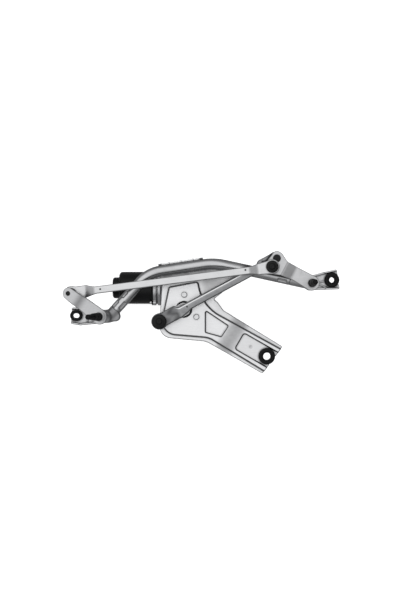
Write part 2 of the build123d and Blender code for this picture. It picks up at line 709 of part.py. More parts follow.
# ---------------------------------------------------------------- plastic ball sockets
def socket(centre, cap_r, mouth):
    """A plastic cup pressed into a rod end; mouth is +1 if the ball enters from above."""
    disc(flat(*centre), SOCKET_R, -6.5, 5)
    if mouth < 0:
        turned(flat(*centre), [(0, 5), (cap_r, 5), (cap_r, 6.5), (cap_r - 1.5, 8.8), (5, 9.6), (0, 9.6)])
    else:
        turned(flat(*centre), [(0, 5), (cap_r, 5), (cap_r, 6), (0, 6)])
        turned(flat(*centre), [(0, -9.6), (8, -9.6), (SOCKET_R - 0.6, -7), (SOCKET_R, -6.5), (0, -6.5)])
    with Locations(centre):
        Sphere(BALL_R + 0.1, mode=Mode.SUBTRACT)
    disc(flat(*centre), 8.0, 0, 12 * mouth, mode=Mode.SUBTRACT)


for name, centre, cap_r, mouth in [
    ("drive_rod_near_socket", ball_b2, 14.2, -1),
    ("drive_rod_far_socket", tuple(ball_a), 12.5, 1),
    ("link_rod_right_socket", tuple(ball_b), 12.2, -1),
    ("link_rod_left_socket", tuple(ball_c), 12.5, 1),
]:
    with BuildPart() as cup:
        socket(centre, cap_r, mouth)
    finish(cup, name)

# ---------------------------------------------------------------- gear housing and cover
ROOF_Z = (-22.0, -19.0)
CHAMBER_R = 43.0
WALL = 3.0
COVER_Z = -45.0
COVER_SHEET = 3.0
BOSS_OUT_R = 12.6
OUTPUT_BEARING_R = 9.0
PILLAR_R = 6.0
WORM_TUBE_R = 13.0
WORM_BORE_R = 9.0
WORM_END_X = -118.0
BRUSH_BAY_R = 26.6
BRUSH_BAY_X = -217.0
PLATE_BACK = PLATEAU_TOP - SHEET
LUG_R = 4.5
LUG_CIRCLE = 45.0
LUG_ANGLES = [20, 205, 255, 305]
lug_places = [
    (SHAFT_XY[0] + LUG_CIRCLE * math.cos(math.radians(a)),
     SHAFT_XY[1] + LUG_CIRCLE * math.sin(math.radians(a)))
    for a in LUG_ANGLES
]
EAR_REACH = (29.7, 20.8)       # the two ears that clamp the motor can, from the motor's axis
ear_places = [(-EAR_REACH[0], EAR_REACH[1]), (EAR_REACH[0], -EAR_REACH[1])]
CONNECTOR_X = (-124.0, -99.0)
CONNECTOR_Y = (60.0, 84.0)
CONNECTOR_Z = (COVER_Z, COVER_Z + 16.0)
CONNECTOR_WALL = 2.2


def ear(dy, dz, radius, low, high, mode=Mode.ADD):
    """A round ear or a hole beside the motor can, parallel to the motor shaft."""
    centre = (0, MOTOR_Y + dy, MOTOR_Z + dz)
    disc(Plane(origin=centre, x_dir=(0, 1, 0), z_dir=(1, 0, 0)), radius, low, high, mode)


with BuildPart() as gear_housing:
    disc(OUTPUT, CHAMBER_R, COVER_Z, ROOF_Z[1])
    disc(WORM, WORM_TUBE_R, FLANGE_X - 2, WORM_END_X)
    disc(WORM, YOKE_R + 3, YOKE_X[1], YOKE_X[1] + 6)
    disc(WORM, YOKE_R, YOKE_X[1] + 6, YOKE_X[1] + 9)
    disc(WORM, YOKE_R + 3, YOKE_X[1] + 9, FLANGE_X)
    for x, y in lug_places:
        disc(flat(x, y, 0), LUG_R, COVER_Z, ROOF_Z[1])
    for dy, dz in ear_places:
        ear(dy, dz, 5.5, YOKE_X[1], YOKE_X[1] + 6)
    disc(OUTPUT, CHAMBER_R - WALL, COVER_Z - 1, ROOF_Z[0], mode=Mode.SUBTRACT)
    disc(OUTPUT, 15, ROOF_Z[0], PLATE_BACK)
    disc(OUTPUT, BOSS_OUT_R, PLATE_BACK - 1, PLATEAU_TOP + 4)
    for x, y in bolt_places:
        disc(flat(x, y, 0), PILLAR_R, ROOF_Z[0], PLATE_BACK)
        disc(flat(x, y, 0), BOLT_R, PLATE_BACK - 16, PLATE_BACK + 1, mode=Mode.SUBTRACT)
    disc(WORM, WORM_BORE_R, BRUSH_BAY_X, WORM_END_X - 4, mode=Mode.SUBTRACT)
    disc(WORM, BRUSH_BAY_R, YOKE_X[1] - 1, BRUSH_BAY_X, mode=Mode.SUBTRACT)
    disc(OUTPUT, OUTPUT_BEARING_R, ROOF_Z[0] - 1, PLATEAU_TOP + 5, mode=Mode.SUBTRACT)
    for x, y in lug_places:
        disc(flat(x, y, 0), 1.6, COVER_Z - 1, COVER_Z + 14, mode=Mode.SUBTRACT)
    for dy, dz in ear_places:
        ear(dy, dz, 2, YOKE_X[1] - 1, YOKE_X[1] + 7, Mode.SUBTRACT)
finish(gear_housing, "gear_housing")

with BuildPart() as gear_cover:
    disc(OUTPUT, CHAMBER_R, COVER_Z - COVER_SHEET, COVER_Z)
    for x, y in lug_places:
        disc(flat(x, y, 0), LUG_R, COVER_Z - COVER_SHEET, COVER_Z)
    block((CONNECTOR_X[0] - 20, CONNECTOR_Y[0], COVER_Z - COVER_SHEET),
          (CONNECTOR_X[1], CONNECTOR_Y[1], COVER_Z))
    ring(OUTPUT, CHAMBER_R - WALL - 0.3, CHAMBER_R - WALL - 2.5, COVER_Z, COVER_Z + 2.5)
    disc(OUTPUT, 14, COVER_Z - COVER_SHEET - 1.5, COVER_Z - COVER_SHEET)
    for angle in range(0, 360, 60):
        with BuildSketch(OUTPUT.offset(COVER_Z - COVER_SHEET - 1.2).rotated((0, 0, angle))) as web:
            with Locations((25, 0)):
                Rectangle(26, 2)
        extrude(web.sketch, amount=1.2)
    for x, y in lug_places:
        disc(flat(x, y, 0), 1.8, COVER_Z - 4, COVER_Z + 1, mode=Mode.SUBTRACT)
finish(gear_cover, "gear_cover")

with BuildPart() as cover_screws:
    for x, y in lug_places:
        disc(flat(x, y, 0), 1.6, COVER_Z - COVER_SHEET - 0.1, COVER_Z + 12)
        disc(flat(x, y, 0), 3.4, COVER_Z - COVER_SHEET - 2.4, COVER_Z - COVER_SHEET)
finish(cover_screws, "cover_screws")

with BuildPart() as connector_socket:
    block((CONNECTOR_X[0], CONNECTOR_Y[0], CONNECTOR_Z[0]), (CONNECTOR_X[1], CONNECTOR_Y[1], CONNECTOR_Z[1]))
    block(
        (CONNECTOR_X[0] + CONNECTOR_WALL, CONNECTOR_Y[0] + CONNECTOR_WALL, CONNECTOR_Z[0] + CONNECTOR_WALL),
        (CONNECTOR_X[1] + 1, CONNECTOR_Y[1] - CONNECTOR_WALL, CONNECTOR_Z[1] - CONNECTOR_WALL),
        mode=Mode.SUBTRACT,
    )
    middle = (CONNECTOR_Y[0] + CONNECTOR_Y[1]) / 2
    block((CONNECTOR_X[0], middle - 4, CONNECTOR_Z[1]),
          (CONNECTOR_X[1] - 10, middle + 4, CONNECTOR_Z[1] + 2.5))
finish(connector_socket, "connector_socket")

with BuildPart() as connector_terminals:
    base = CONNECTOR_X[0] + CONNECTOR_WALL
    for step in range(-2, 3):
        y = (CONNECTOR_Y[0] + CONNECTOR_Y[1]) / 2 + 3.8 * step
        z = (CONNECTOR_Z[0] + CONNECTOR_Z[1]) / 2
        block((base, y - 0.4, z - 1.5), (base + 11, y + 0.4, z + 1.5))
finish(connector_terminals, "connector_terminals")

with BuildPart() as motor_bolts:
    for x, y in bolt_places:
        disc(flat(x, y, 0), BOLT_R, PLATE_BACK - 15, PLATEAU_TOP)
        turned(flat(x, y, PLATEAU_TOP), [(0, 0), (5.7, 0), (5.7, 1.4), (4.9, 2.2), (0, 2.2)])
finish(motor_bolts, "motor_bolts")

with BuildPart() as boss_gasket:
    ring(OUTPUT, BOSS_HOLE_R - 0.2, BOSS_OUT_R, PLATE_BACK, PLATE_BACK + 1.2)
finish(boss_gasket, "boss_gasket")

with BuildPart() as output_bearing:
    ring(OUTPUT, OUTPUT_BEARING_R, SHAFT_R + FIT, ROOF_Z[0] + 2, PLATEAU_TOP + 1)
finish(output_bearing, "output_bearing")

with BuildPart() as output_seal:
    ring(OUTPUT, OUTPUT_BEARING_R, SHAFT_R + FIT, PLATEAU_TOP + 1.2, PLATEAU_TOP + 4)
finish(output_seal, "output_seal")

with BuildPart() as output_washer:
    ring(OUTPUT, 11, SHAFT_R + 0.1, PLATEAU_TOP + 4.1, MOTOR_CRANK_Z[0] - GAP)
finish(output_washer, "output_washer")

# ---------------------------------------------------------------- motor can, magnets and brushes
CAN_WALL = 2.0
NOSE_R = 21.3
with BuildPart() as motor_yoke:
    turned(WORM, [
        (0, YOKE_NOSE_X), (NOSE_R - 5, YOKE_NOSE_X), (NOSE_R - 1.5, YOKE_NOSE_X + 1.5),
        (NOSE_R, YOKE_NOSE_X + 5), (NOSE_R, YOKE_X[0]), (YOKE_R - 6, YOKE_X[0]),
        (YOKE_R - 1.8, YOKE_X[0] + 1.8), (YOKE_R, YOKE_X[0] + 6), (YOKE_R, YOKE_X[1] - 2.5),
        (YOKE_R + 3, YOKE_X[1] - 2.5), (YOKE_R + 3, YOKE_X[1]), (YOKE_R - CAN_WALL, YOKE_X[1]),
        (YOKE_R - CAN_WALL, YOKE_X[0] + 7), (YOKE_R - 7, YOKE_X[0] + CAN_WALL),
        (NOSE_R - CAN_WALL, YOKE_X[0] + CAN_WALL), (NOSE_R - CAN_WALL, YOKE_NOSE_X + 5),
        (NOSE_R - 6, YOKE_NOSE_X + CAN_WALL), (0, YOKE_NOSE_X + CAN_WALL),
    ])
    for dy, dz in ear_places:
        ear(dy, dz, 5.5, YOKE_X[1] - 2.5, YOKE_X[1])
    disc(WORM, YOKE_R - CAN_WALL, YOKE_X[1] - 4, YOKE_X[1] + 1, mode=Mode.SUBTRACT)
    for dy, dz in ear_places:
        ear(dy, dz, 2, YOKE_X[1] - 3, YOKE_X[1] + 1, Mode.SUBTRACT)
finish(motor_yoke, "motor_yoke")

with BuildPart() as yoke_screws:
    for dy, dz in ear_places:
        ear(dy, dz, 2, YOKE_X[1] - 2.5, YOKE_X[1] + 6)
        ear(dy, dz, 3.4, YOKE_X[1] - 6.5, YOKE_X[1] - 2.5)
finish(yoke_screws, "yoke_screws")

MAGNET_X = (-290.0, -236.0)
MAGNET_R = (24.5, YOKE_R - CAN_WALL)
with BuildPart() as yoke_magnets:
    ring(WORM, MAGNET_R[1], MAGNET_R[0], *MAGNET_X)
    for z in (-1, 1):
        low = MOTOR_Z + 20 * z - 14
        block((MAGNET_X[0] - 1, MOTOR_Y - 13, low), (MAGNET_X[1] + 1, MOTOR_Y + 13, low + 28),
              mode=Mode.SUBTRACT)
finish(yoke_magnets, "yoke_magnets")

ARMATURE_R = 4.0
BRUSH_X = (-227.0, -219.0)
COMMUTATOR_R = 11.0
COMMUTATOR_X = (-229.0, -217.5)
with BuildPart() as brush_holder:
    ring(WORM, BRUSH_BAY_R, 13, BRUSH_X[1], BRUSH_X[1] + 1.6)
    for side in (-1, 1):
        y = MOTOR_Y + side * 19
        block((BRUSH_X[0], y - 5.5, MOTOR_Z - 4.5), (BRUSH_X[1], y + 5.5, MOTOR_Z + 4.5))
        block((BRUSH_X[0] + 1, y - 8, MOTOR_Z - 3), (BRUSH_X[1] - 1, y + 8, MOTOR_Z + 3), mode=Mode.SUBTRACT)
finish(brush_holder, "brush_holder")

with BuildPart() as carbon_brushes:
    for side in (-1, 1):
        near = MOTOR_Y + side * (COMMUTATOR_R + 0.4)
        far = MOTOR_Y + side * 22
        block((BRUSH_X[0] + 1.2, min(near, far), MOTOR_Z - 2.8),
              (BRUSH_X[1] - 1.2, max(near, far), MOTOR_Z + 2.8))
finish(carbon_brushes, "carbon_brushes")

SHAFT_BACK_X = YOKE_NOSE_X + 4
SHAFT_FRONT_X = WORM_END_X - 5
with BuildPart() as armature_bearings:
    ring(WORM, 9.5, ARMATURE_R + FIT, YOKE_NOSE_X + CAN_WALL, YOKE_NOSE_X + 11)
    ring(WORM, WORM_BORE_R, ARMATURE_R + FIT, -213, -204)
    ring(WORM, WORM_BORE_R, ARMATURE_R + FIT, -134, WORM_END_X - 4)
finish(armature_bearings, "armature_bearings")

# ---------------------------------------------------------------- worm, wheel and armature
TEETH = 60
WORM_PITCH_R = 6.0
WHEEL_PITCH_R = MOTOR_Y - SHAFT_XY[1] - WORM_PITCH_R
TOOTH_PITCH = 2 * math.pi * WHEEL_PITCH_R / TEETH
WORM_TURNS = 9
WHEEL_HALF = 6.0
worm_start = SHAFT_XY[0] - (WORM_TURNS // 2 + 0.25) * TOOTH_PITCH

with BuildPart() as armature_shaft:
    disc(WORM, ARMATURE_R, SHAFT_BACK_X, SHAFT_FRONT_X)
    disc(WORM, WORM_PITCH_R - 1.4, worm_start - 3, worm_start + WORM_TURNS * TOOTH_PITCH + 3)
    with BuildLine() as thread_path:
        Helix(
            pitch=TOOTH_PITCH, height=WORM_TURNS * TOOTH_PITCH, radius=WORM_PITCH_R,
            center=(worm_start, MOTOR_Y, MOTOR_Z), direction=(1, 0, 0),
        )
    thread_start = Plane(origin=thread_path.line @ 0, x_dir=(0, 0, 1), z_dir=thread_path.line % 0)
    with BuildSketch(thread_start) as tooth:
        with BuildLine():
            Polyline((-1.9, 0.9), (1.1, 0.4), (1.1, -0.4), (-1.9, -0.9), close=True)
        make_face()
    sweep(tooth.sketch, path=thread_path.line, is_frenet=True)
finish(armature_shaft, "armature_shaft")

with BuildPart() as worm_wheel:
    ring(flat(*SHAFT_XY, MOTOR_Z), WHEEL_PITCH_R - 1.6, SHAFT_R, -WHEEL_HALF, WHEEL_HALF)
    with BuildSketch(flat(*SHAFT_XY, MOTOR_Z - WHEEL_HALF)) as rim:
        with PolarLocations(WHEEL_PITCH_R - 0.4, TEETH, start_angle=90 + 180 / TEETH):
            Rectangle(2.8, 1.1)
    extrude(rim.sketch, amount=2 * WHEEL_HALF)
    for low in (-WHEEL_HALF - 2, 2):
        with BuildSketch(flat(*SHAFT_XY, MOTOR_Z + low)) as pocket:
            Circle(WHEEL_PITCH_R - 6)
            Circle(11, mode=Mode.SUBTRACT)
        extrude(pocket.sketch, amount=WHEEL_HALF, mode=Mode.SUBTRACT)
finish(worm_wheel, "worm_wheel")

CORE_X = (-284.0, -242.0)
ARMATURE_CORE_R = 22.0
SLOTS = 12
with BuildPart() as armature_core:
    ring(WORM, ARMATURE_CORE_R, ARMATURE_R, *CORE_X)
    with BuildSketch(WORM.offset(CORE_X[0])) as slots:
        with PolarLocations(16.5, SLOTS):
            Rectangle(12, 3)
    extrude(slots.sketch, amount=CORE_X[1] - CORE_X[0], mode=Mode.SUBTRACT)
finish(armature_core, "armature_core")

with BuildPart() as armature_windings:
    for low, high in [(CORE_X[0] - 7, CORE_X[0]), (CORE_X[1], CORE_X[1] + 7)]:
        ring(WORM, ARMATURE_CORE_R - 2, ARMATURE_R + 1, low, high)
    with BuildSketch(WORM.offset(CORE_X[0])) as fill:
        with PolarLocations(15.5, SLOTS):
            Rectangle(9.6, 2.8)
    extrude(fill.sketch, amount=CORE_X[1] - CORE_X[0])
finish(armature_windings, "armature_windings")

with BuildPart() as commutator:
    ring(WORM, COMMUTATOR_R, ARMATURE_R, *COMMUTATOR_X)
    with BuildSketch(WORM.offset(COMMUTATOR_X[0])) as cuts:
        with PolarLocations(COMMUTATOR_R, SLOTS):
            Rectangle(2, 0.6)
    extrude(cuts.sketch, amount=COMMUTATOR_X[1] - COMMUTATOR_X[0], mode=Mode.SUBTRACT)
finish(commutator, "commutator")
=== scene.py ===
import json
import math

import bmesh
import bpy
import numpy as np
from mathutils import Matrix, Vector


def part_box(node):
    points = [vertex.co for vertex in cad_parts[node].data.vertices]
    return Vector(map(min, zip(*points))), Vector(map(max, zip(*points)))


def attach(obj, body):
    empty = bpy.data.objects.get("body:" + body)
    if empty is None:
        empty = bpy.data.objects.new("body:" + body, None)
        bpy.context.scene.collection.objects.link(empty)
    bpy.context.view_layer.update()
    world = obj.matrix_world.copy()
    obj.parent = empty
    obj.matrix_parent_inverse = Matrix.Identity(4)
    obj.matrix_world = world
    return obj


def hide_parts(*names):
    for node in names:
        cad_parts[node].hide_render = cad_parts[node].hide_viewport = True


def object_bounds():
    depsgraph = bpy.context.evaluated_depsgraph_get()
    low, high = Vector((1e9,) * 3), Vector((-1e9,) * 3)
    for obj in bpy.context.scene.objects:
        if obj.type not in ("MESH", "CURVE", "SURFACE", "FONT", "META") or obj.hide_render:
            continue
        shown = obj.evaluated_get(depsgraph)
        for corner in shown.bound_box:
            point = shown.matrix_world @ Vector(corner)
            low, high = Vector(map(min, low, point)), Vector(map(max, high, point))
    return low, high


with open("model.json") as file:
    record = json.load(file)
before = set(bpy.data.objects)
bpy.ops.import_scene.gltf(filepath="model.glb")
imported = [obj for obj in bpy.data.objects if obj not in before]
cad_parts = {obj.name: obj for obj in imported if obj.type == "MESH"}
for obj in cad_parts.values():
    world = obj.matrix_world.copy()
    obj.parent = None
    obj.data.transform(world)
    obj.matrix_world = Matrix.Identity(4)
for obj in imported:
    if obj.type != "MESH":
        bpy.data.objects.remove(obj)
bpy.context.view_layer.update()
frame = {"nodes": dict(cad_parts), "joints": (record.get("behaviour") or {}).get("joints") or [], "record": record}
JOINTS = {joint["name"]: joint for joint in frame["joints"]}
MM = 0.001
NOTHING, FAR = 1e-9, 1e9

# Lengths are in millimetres in the frame's own axes until a mesh is made.

# ---------------------------------------------------------------- driving dimensions
SHEET = 2.0
PLATEAU_TOP = 14.0
FLANGE_DROP = 6.0
ARM_DROP = 10.0
EMBOSS = 3.0
ARM_ANGLE = math.radians(-31.0)
ARM_BEND = (-96.0, -68.0)
TUBE_R = 11.0
CRANK_HALF = 2.0
RIGHT_JOGGLE = 9.0
LEFT_JOGGLE = 8.0
BALL_REACH = 12.5
LEFT_REACH = 14.5
BALL_R = 8.0
BALL_A = (-70.3, 48.3)
BALL_B = (-80.6, 31.2)
BALL_C = (-64.4, 45.9)
ROD_WALL = 2.0


# ---------------------------------------------------------------- local axes
def unit(v):
    """A vector of length one."""
    v = np.array(v, float)
    return v / np.linalg.norm(v)


class Axes:
    """A point and three square directions."""

    def __init__(self, origin, z=(0, 0, 1), x=(1, 0, 0)):
        self.origin = np.array(origin, float)
        self.z = unit(z)
        self.x = unit(np.array(x, float) - np.dot(x, self.z) * self.z)
        self.y = np.cross(self.z, self.x)

    def see(self, p):
        """A point of the frame in these axes."""
        gap = [p[i] - self.origin[i] for i in range(3)]
        return [sum(gap[i] * a[i] for i in range(3) if abs(a[i]) > NOTHING) for a in (self.x, self.y, self.z)]

    def place(self, u, v, w):
        """A point of these axes in the frame."""
        spread = np.multiply.outer
        return self.origin + spread(u, self.x) + spread(v, self.y) + spread(w, self.z)

    def at(self, u, v, w):
        """The same directions from another point."""
        return Axes(self.place(u, v, w), self.z, self.x)


def spindle_axes(joint):
    """A spindle's axes, its z out towards the wiper arm."""
    z = -np.array(JOINTS[joint]["axis"])
    return Axes(np.array(JOINTS[joint]["pos_m"]) / MM, z, np.cross((0, 1, 0), z))


def box_of(node):
    """The lowest and highest corner of a CAD node."""
    return [np.array(corner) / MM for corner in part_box(node)]


RIGHT = spindle_axes("right_spindle_turn")
LEFT = spindle_axes("left_spindle_turn")
SHAFT = Axes(np.array(JOINTS["motor_crank_turn"]["pos_m"]) / MM)
BALL_B2 = np.array(JOINTS["drive_rod_near_ball"]["pos_m"]) / MM
POINT_A = RIGHT.place(*BALL_A, RIGHT_JOGGLE - BALL_REACH)
POINT_B = RIGHT.place(*BALL_B, RIGHT_JOGGLE + BALL_REACH)
POINT_C = LEFT.place(*BALL_C, LEFT_JOGGLE - LEFT_REACH)
MOTOR = Axes((0, 137.8, -32.0), (1, 0, 0), (0, 1, 0))
LEVEL = Axes((0, 0, 0))


# ---------------------------------------------------------------- distance fields
def fuse(a, b, k=0.01):
    """Both shapes, with a fillet of about k between them."""
    h = np.maximum(k - np.abs(a - b), 0) / k
    return np.minimum(a, b) - h * h * k / 4


def keep(a, b, k=0.01):
    """What is in both shapes, its edges rounded by about k."""
    return -fuse(-a, -b, k)


def cut(a, b, k=0.01):
    """The first shape without the second."""
    return keep(a, -b, k)


def between(w, low, high):
    """A slab."""
    return np.abs(w - (low + high) / 2) - (high - low) / 2


def ease(t):
    """From 0 to 1 with soft ends."""
    t = np.clip(t, 0, 1)
    return t * t * (3 - 2 * t)


def window(w, low, high, soft):
    """1 between two limits, easing to 0 just inside them."""
    return ease((w - low) / soft) * ease((high - w) / soft)


def line_at(away, half):
    """A soft line where a distance is zero."""
    return np.exp(-(away / half) ** 2)


def beside(x, y, start, run):
    """How far a place is along a line, and to the left of it."""
    across, up = x - start[0], y - start[1]
    return across * run[0] + up * run[1], up * run[0] - across * run[1]


def disc(u, v, radius, centre=(0, 0)):
    return np.hypot(u - centre[0], v - centre[1]) - radius


def bar(u, v, a, b, half):
    """A straight bar with round ends."""
    run = np.subtract(b, a)
    t = np.clip(((u - a[0]) * run[0] + (v - a[1]) * run[1]) / (run @ run), 0, 1)
    return np.hypot(u - a[0] - t * run[0], v - a[1] - t * run[1]) - half


def polygon(u, v, corners):
    """Signed distance to a closed outline, negative inside."""
    nearest = np.full(np.broadcast(u, v).shape, FAR)
    inside = np.zeros(nearest.shape, bool)
    for (ax, ay), (bx, by) in zip(corners, np.roll(corners, -1, axis=0)):
        ex, ey = bx - ax, by - ay
        t = np.clip(((u - ax) * ex + (v - ay) * ey) / (ex * ex + ey * ey), 0, 1)
        nearest = np.minimum(nearest, (u - ax - t * ex) ** 2 + (v - ay - t * ey) ** 2)
        if ey:
            inside ^= ((ay > v) != (by > v)) & (u < (v - ay) * ex / ey + ax)
    return np.where(inside, -1, 1) * np.sqrt(nearest)


def corner_arc(before, corner, after, radius, step):
    """Points of the arc that rounds a corner."""
    a, b = unit(before - corner), unit(after - corner)
    half = math.acos(np.clip(a @ b, -1, 1)) / 2
    centre = corner + unit(a + b) * radius / math.sin(half)
    start = corner + a * radius / math.tan(half) - centre
    stop = corner + b * radius / math.tan(half) - centre
    turn = math.pi - 2 * half
    steps = np.linspace(0, 1, max(2, math.ceil(turn * radius / step)) + 1)
    return [centre + (start * math.sin((1 - t) * turn) + stop * math.sin(t * turn)) / math.sin(turn)
            for t in steps]


def rounded(points, radii, step=1.5):
    """A closed outline with an arc at each corner."""
    points = np.array(points, float)
    made = []
    for i, radius in enumerate(radii):
        after = points[(i + 1) % len(points)]
        made += corner_arc(points[i - 1], points[i], after, radius, step) if radius else [points[i]]
    return np.array(made)


def rod(axes, p, radius, low, high, edge=0.8):
    """A round length of bar along some axes."""
    u, v, w = axes.see(p)
    return keep(np.hypot(u, v) - radius, between(w, low, high), edge)


# ---------------------------------------------------------------- from field to mesh
# The radius that stands for a point on a turned solid's axis.
AXIS_R = 1e-4
TURNED_SHARP = math.radians(50)
# How near two points in metres are welded.
WELD_GAP = 1e-7


def slope(field, p, step=0.05):
    """The field's gradient at some points."""
    found = []
    for axis in range(3):
        ahead, behind = list(p), list(p)
        ahead[axis] = p[axis] + step
        behind[axis] = p[axis] - step
        found.append((field(ahead) - field(behind)) / (2 * step))
    return found


def settle(field, points, rounds=2):
    """Moves points onto the field's zero surface."""
    for _ in range(rounds):
        p = [points[:, 0], points[:, 1], points[:, 2]]
        away = field(p)
        g = slope(field, p)
        size = np.maximum(g[0] ** 2 + g[1] ** 2 + g[2] ** 2, 0.04)
        step = np.clip(away / size, -0.5, 0.5)
        points = points - np.stack([step * a for a in g], 1)
    return points


def skin(field, low, high, cell):
    """Corners and four-sided faces of a field's zero surface, one corner in each crossed cell."""
    lines = [np.arange(a - 2 * cell, b + 3 * cell, cell) for a, b in zip(low, high)]
    x, y, z = lines[0][:, None, None], lines[1][None, :, None], lines[2][None, None, :]
    shape = tuple(len(line) for line in lines)
    solid = np.broadcast_to(field([x, y, z]) < 0, shape)
    filled = np.zeros([n - 1 for n in shape], np.int8)
    for i in range(2):
        for j in range(2):
            for k in range(2):
                filled += solid[i:shape[0] - 1 + i, j:shape[1] - 1 + j, k:shape[2] - 1 + k]
    crossed = (filled > 0) & (filled < 8)
    number = np.full(crossed.shape, -1, np.int64)
    number[crossed] = np.arange(crossed.sum())
    points = np.stack([line[at] + cell / 2 for line, at in zip(lines, np.nonzero(crossed))], 1)
    faces = []
    for axis in range(3):
        a = np.moveaxis(solid, axis, 0)
        n = np.moveaxis(number, axis, 0)
        i, j, k = np.nonzero(a[:-1, 1:-1, 1:-1] != a[1:, 1:-1, 1:-1])
        quad = np.stack([n[i, j, k], n[i, j + 1, k], n[i, j + 1, k + 1], n[i, j, k + 1]], 1)
        turned = a[i, j + 1, k + 1] == (axis == 1)
        quad[turned] = quad[turned][:, ::-1]
        faces.append(quad)
    return points, np.concatenate(faces)


def mesh_of(name, points, faces):
    """A smooth mesh in metres."""
    mesh = bpy.data.meshes.new(name)
    mesh.from_pydata((np.asarray(points) * MM).tolist(), [], [list(map(int, f)) for f in faces])
    mesh.polygons.foreach_set("use_smooth", [True] * len(mesh.polygons))
    mesh.update()
    return mesh


def thinned(mesh, share):
    """A mesh with only a share of its faces."""
    carrier = bpy.data.objects.new("carrier", mesh)
    bpy.context.scene.collection.objects.link(carrier)
    carrier.modifiers.new("thin", "DECIMATE").ratio = share
    seen = carrier.evaluated_get(bpy.context.evaluated_depsgraph_get())
    lean = bpy.data.meshes.new_from_object(seen)
    bpy.data.objects.remove(carrier)
    return lean


def cast(name, field, low, high, cell, share, shading_and_tone=None):
    """A solid of one field: meshed, pulled tight, thinned, and shaded by the field's own slope.

    The last argument says how the surface is painted at a point: 1 for dark, painted shade with some darker tone,
    -1 for a painted highlight.
    """
    points, faces = skin(field, low, high, cell)
    mesh = thinned(mesh_of(name, settle(field, points), faces), share)
    flat = np.zeros(len(mesh.vertices) * 3)
    mesh.vertices.foreach_get("co", flat)
    points = settle(field, flat.reshape(-1, 3) / MM, 1)
    mesh.vertices.foreach_set("co", (points * MM).ravel())
    normals = np.stack(slope(field, [points[:, 0], points[:, 1], points[:, 2]]), 1)
    normals /= np.maximum(np.linalg.norm(normals, axis=1), 1e-6)[:, None]
    mesh.polygons.foreach_set("use_smooth", [True] * len(mesh.polygons))
    mesh.normals_split_custom_set_from_vertices(normals.tolist())
    # Painted shade, painted highlight and some darker tone, stored per point for the material.
    if shading_and_tone:
        shading_and_tone_of = mesh.attributes.new("shading_and_tone", "FLOAT", "POINT")
        shading_and_tone_of.data.foreach_set("value", np.clip(shading_and_tone(points[:, 0], points[:, 1], points[:, 2]), -1, 1))
    mesh.update()
    return mesh


def swept(name, rings, closed_ends=True):
    """A tube of rings with the same number of points, in order along its length."""
    rings = np.array(rings)
    count, around = rings.shape[:2]
    faces = []
    for i in range(count - 1):
        for j in range(around):
            k = (j + 1) % around
            faces.append((i * around + j, i * around + k, (i + 1) * around + k, (i + 1) * around + j))
    if closed_ends:
        faces.append(tuple(range(around))[::-1])
        faces.append(tuple(range((count - 1) * around, count * around)))
    return mesh_of(name, rings.reshape(-1, 3), faces)


def softened(profile, radius, steps=3):
    """A profile whose inner corners are rounded as far as their sides allow."""
    profile = [np.array(p, float) for p in profile]
    made = [profile[0]]
    for before, corner, after in zip(profile, profile[1:], profile[2:]):
        a, b = before - corner, after - corner
        reach = min(radius, 0.45 * np.linalg.norm(a), 0.45 * np.linalg.norm(b))
        start, stop = corner + unit(a) * reach, corner + unit(b) * reach
        for t in np.linspace(0, 1, steps + 1):
            made.append((1 - t) ** 2 * start + 2 * t * (1 - t) * corner + t * t * stop)
    made.append(profile[-1])
    return made


def lathe(name, axes, profile, around=72):
    """A turned solid. The profile is (radius, height) and ends on the axis, or comes back to its start."""
    angles = np.linspace(0, 2 * math.pi, around, endpoint=False)
    hollow = profile[0][0] > NOTHING
    rings = []
    for radius, height in profile:
        r = max(radius, AXIS_R)
        rings.append(axes.place(r * np.cos(angles), r * np.sin(angles), np.full(around, height)))
    if hollow:
        rings.append(rings[0])
    mesh = swept(name, rings, closed_ends=not hollow)
    if hollow:
        weld(mesh)
    mesh.set_sharp_from_angle(angle=TURNED_SHARP)
    return mesh


def weld(mesh):
    """Joins points that lie together."""
    made = bmesh.new()
    made.from_mesh(mesh)
    bmesh.ops.remove_doubles(made, verts=made.verts, dist=WELD_GAP)
    bmesh.ops.recalc_face_normals(made, faces=made.faces)
    made.to_mesh(mesh)
    made.free()


# ---------------------------------------------------------------- materials
# Places of a colour mix's sockets.
MIX_SHARE, MIX_FIRST, MIX_SECOND, MIX_RESULT = 0, 6, 7, 2
# A painted highlight colour, laid where the shading attribute is below zero, and a dark colour multiplied in where
# it is above zero, for painted shade and some darker tone.
PAINTED_HIGHLIGHT = (0.88, 0.885, 0.89, 1)
DARK_SHADE_AND_TONE = (0.06, 0.06, 0.063, 1)
SPECK_PITCH = 2.2
CLOUD_SHARE = 0.45


class Nodes:
    """A shader tree, emptied, with a short way to add to it."""

    def __init__(self, owner):
        owner.use_nodes = True
        self.tree = owner.node_tree
        self.tree.nodes.clear()

    def add(self, kind, inputs=(), **settings):
        """A node; each input is a number, a colour or another node's output."""
        node = self.tree.nodes.new("ShaderNode" + kind)
        for key, value in settings.items():
            setattr(node, key, value)
        for key, value in dict(inputs).items():
            if isinstance(value, bpy.types.NodeSocket):
                self.tree.links.new(value, node.inputs[key])
            else:
                node.inputs[key].default_value = value
        return node

    def noise(self, place, size, detail, rough):
        """Noise with features of about a size in millimetres."""
        inputs = {"Vector": place, "Scale": 1000 / size / 4, "Detail": detail, "Roughness": rough}
        return self.add("TexNoise", inputs).outputs["Fac"]

    def spread(self, value, low, high, bottom=0.0, top=1.0):
        """A value stretched from one span to another."""
        inputs = {"Value": value, "From Min": low, "From Max": high, "To Min": bottom, "To Max": top}
        return self.add("MapRange", inputs).outputs["Result"]

    def mixed(self, share, first, second, blend="MIX"):
        """Two colours mixed."""
        inputs = {MIX_SHARE: share, MIX_FIRST: first, MIX_SECOND: second}
        return self.add("Mix", inputs, data_type="RGBA", blend_type=blend).outputs[MIX_RESULT]


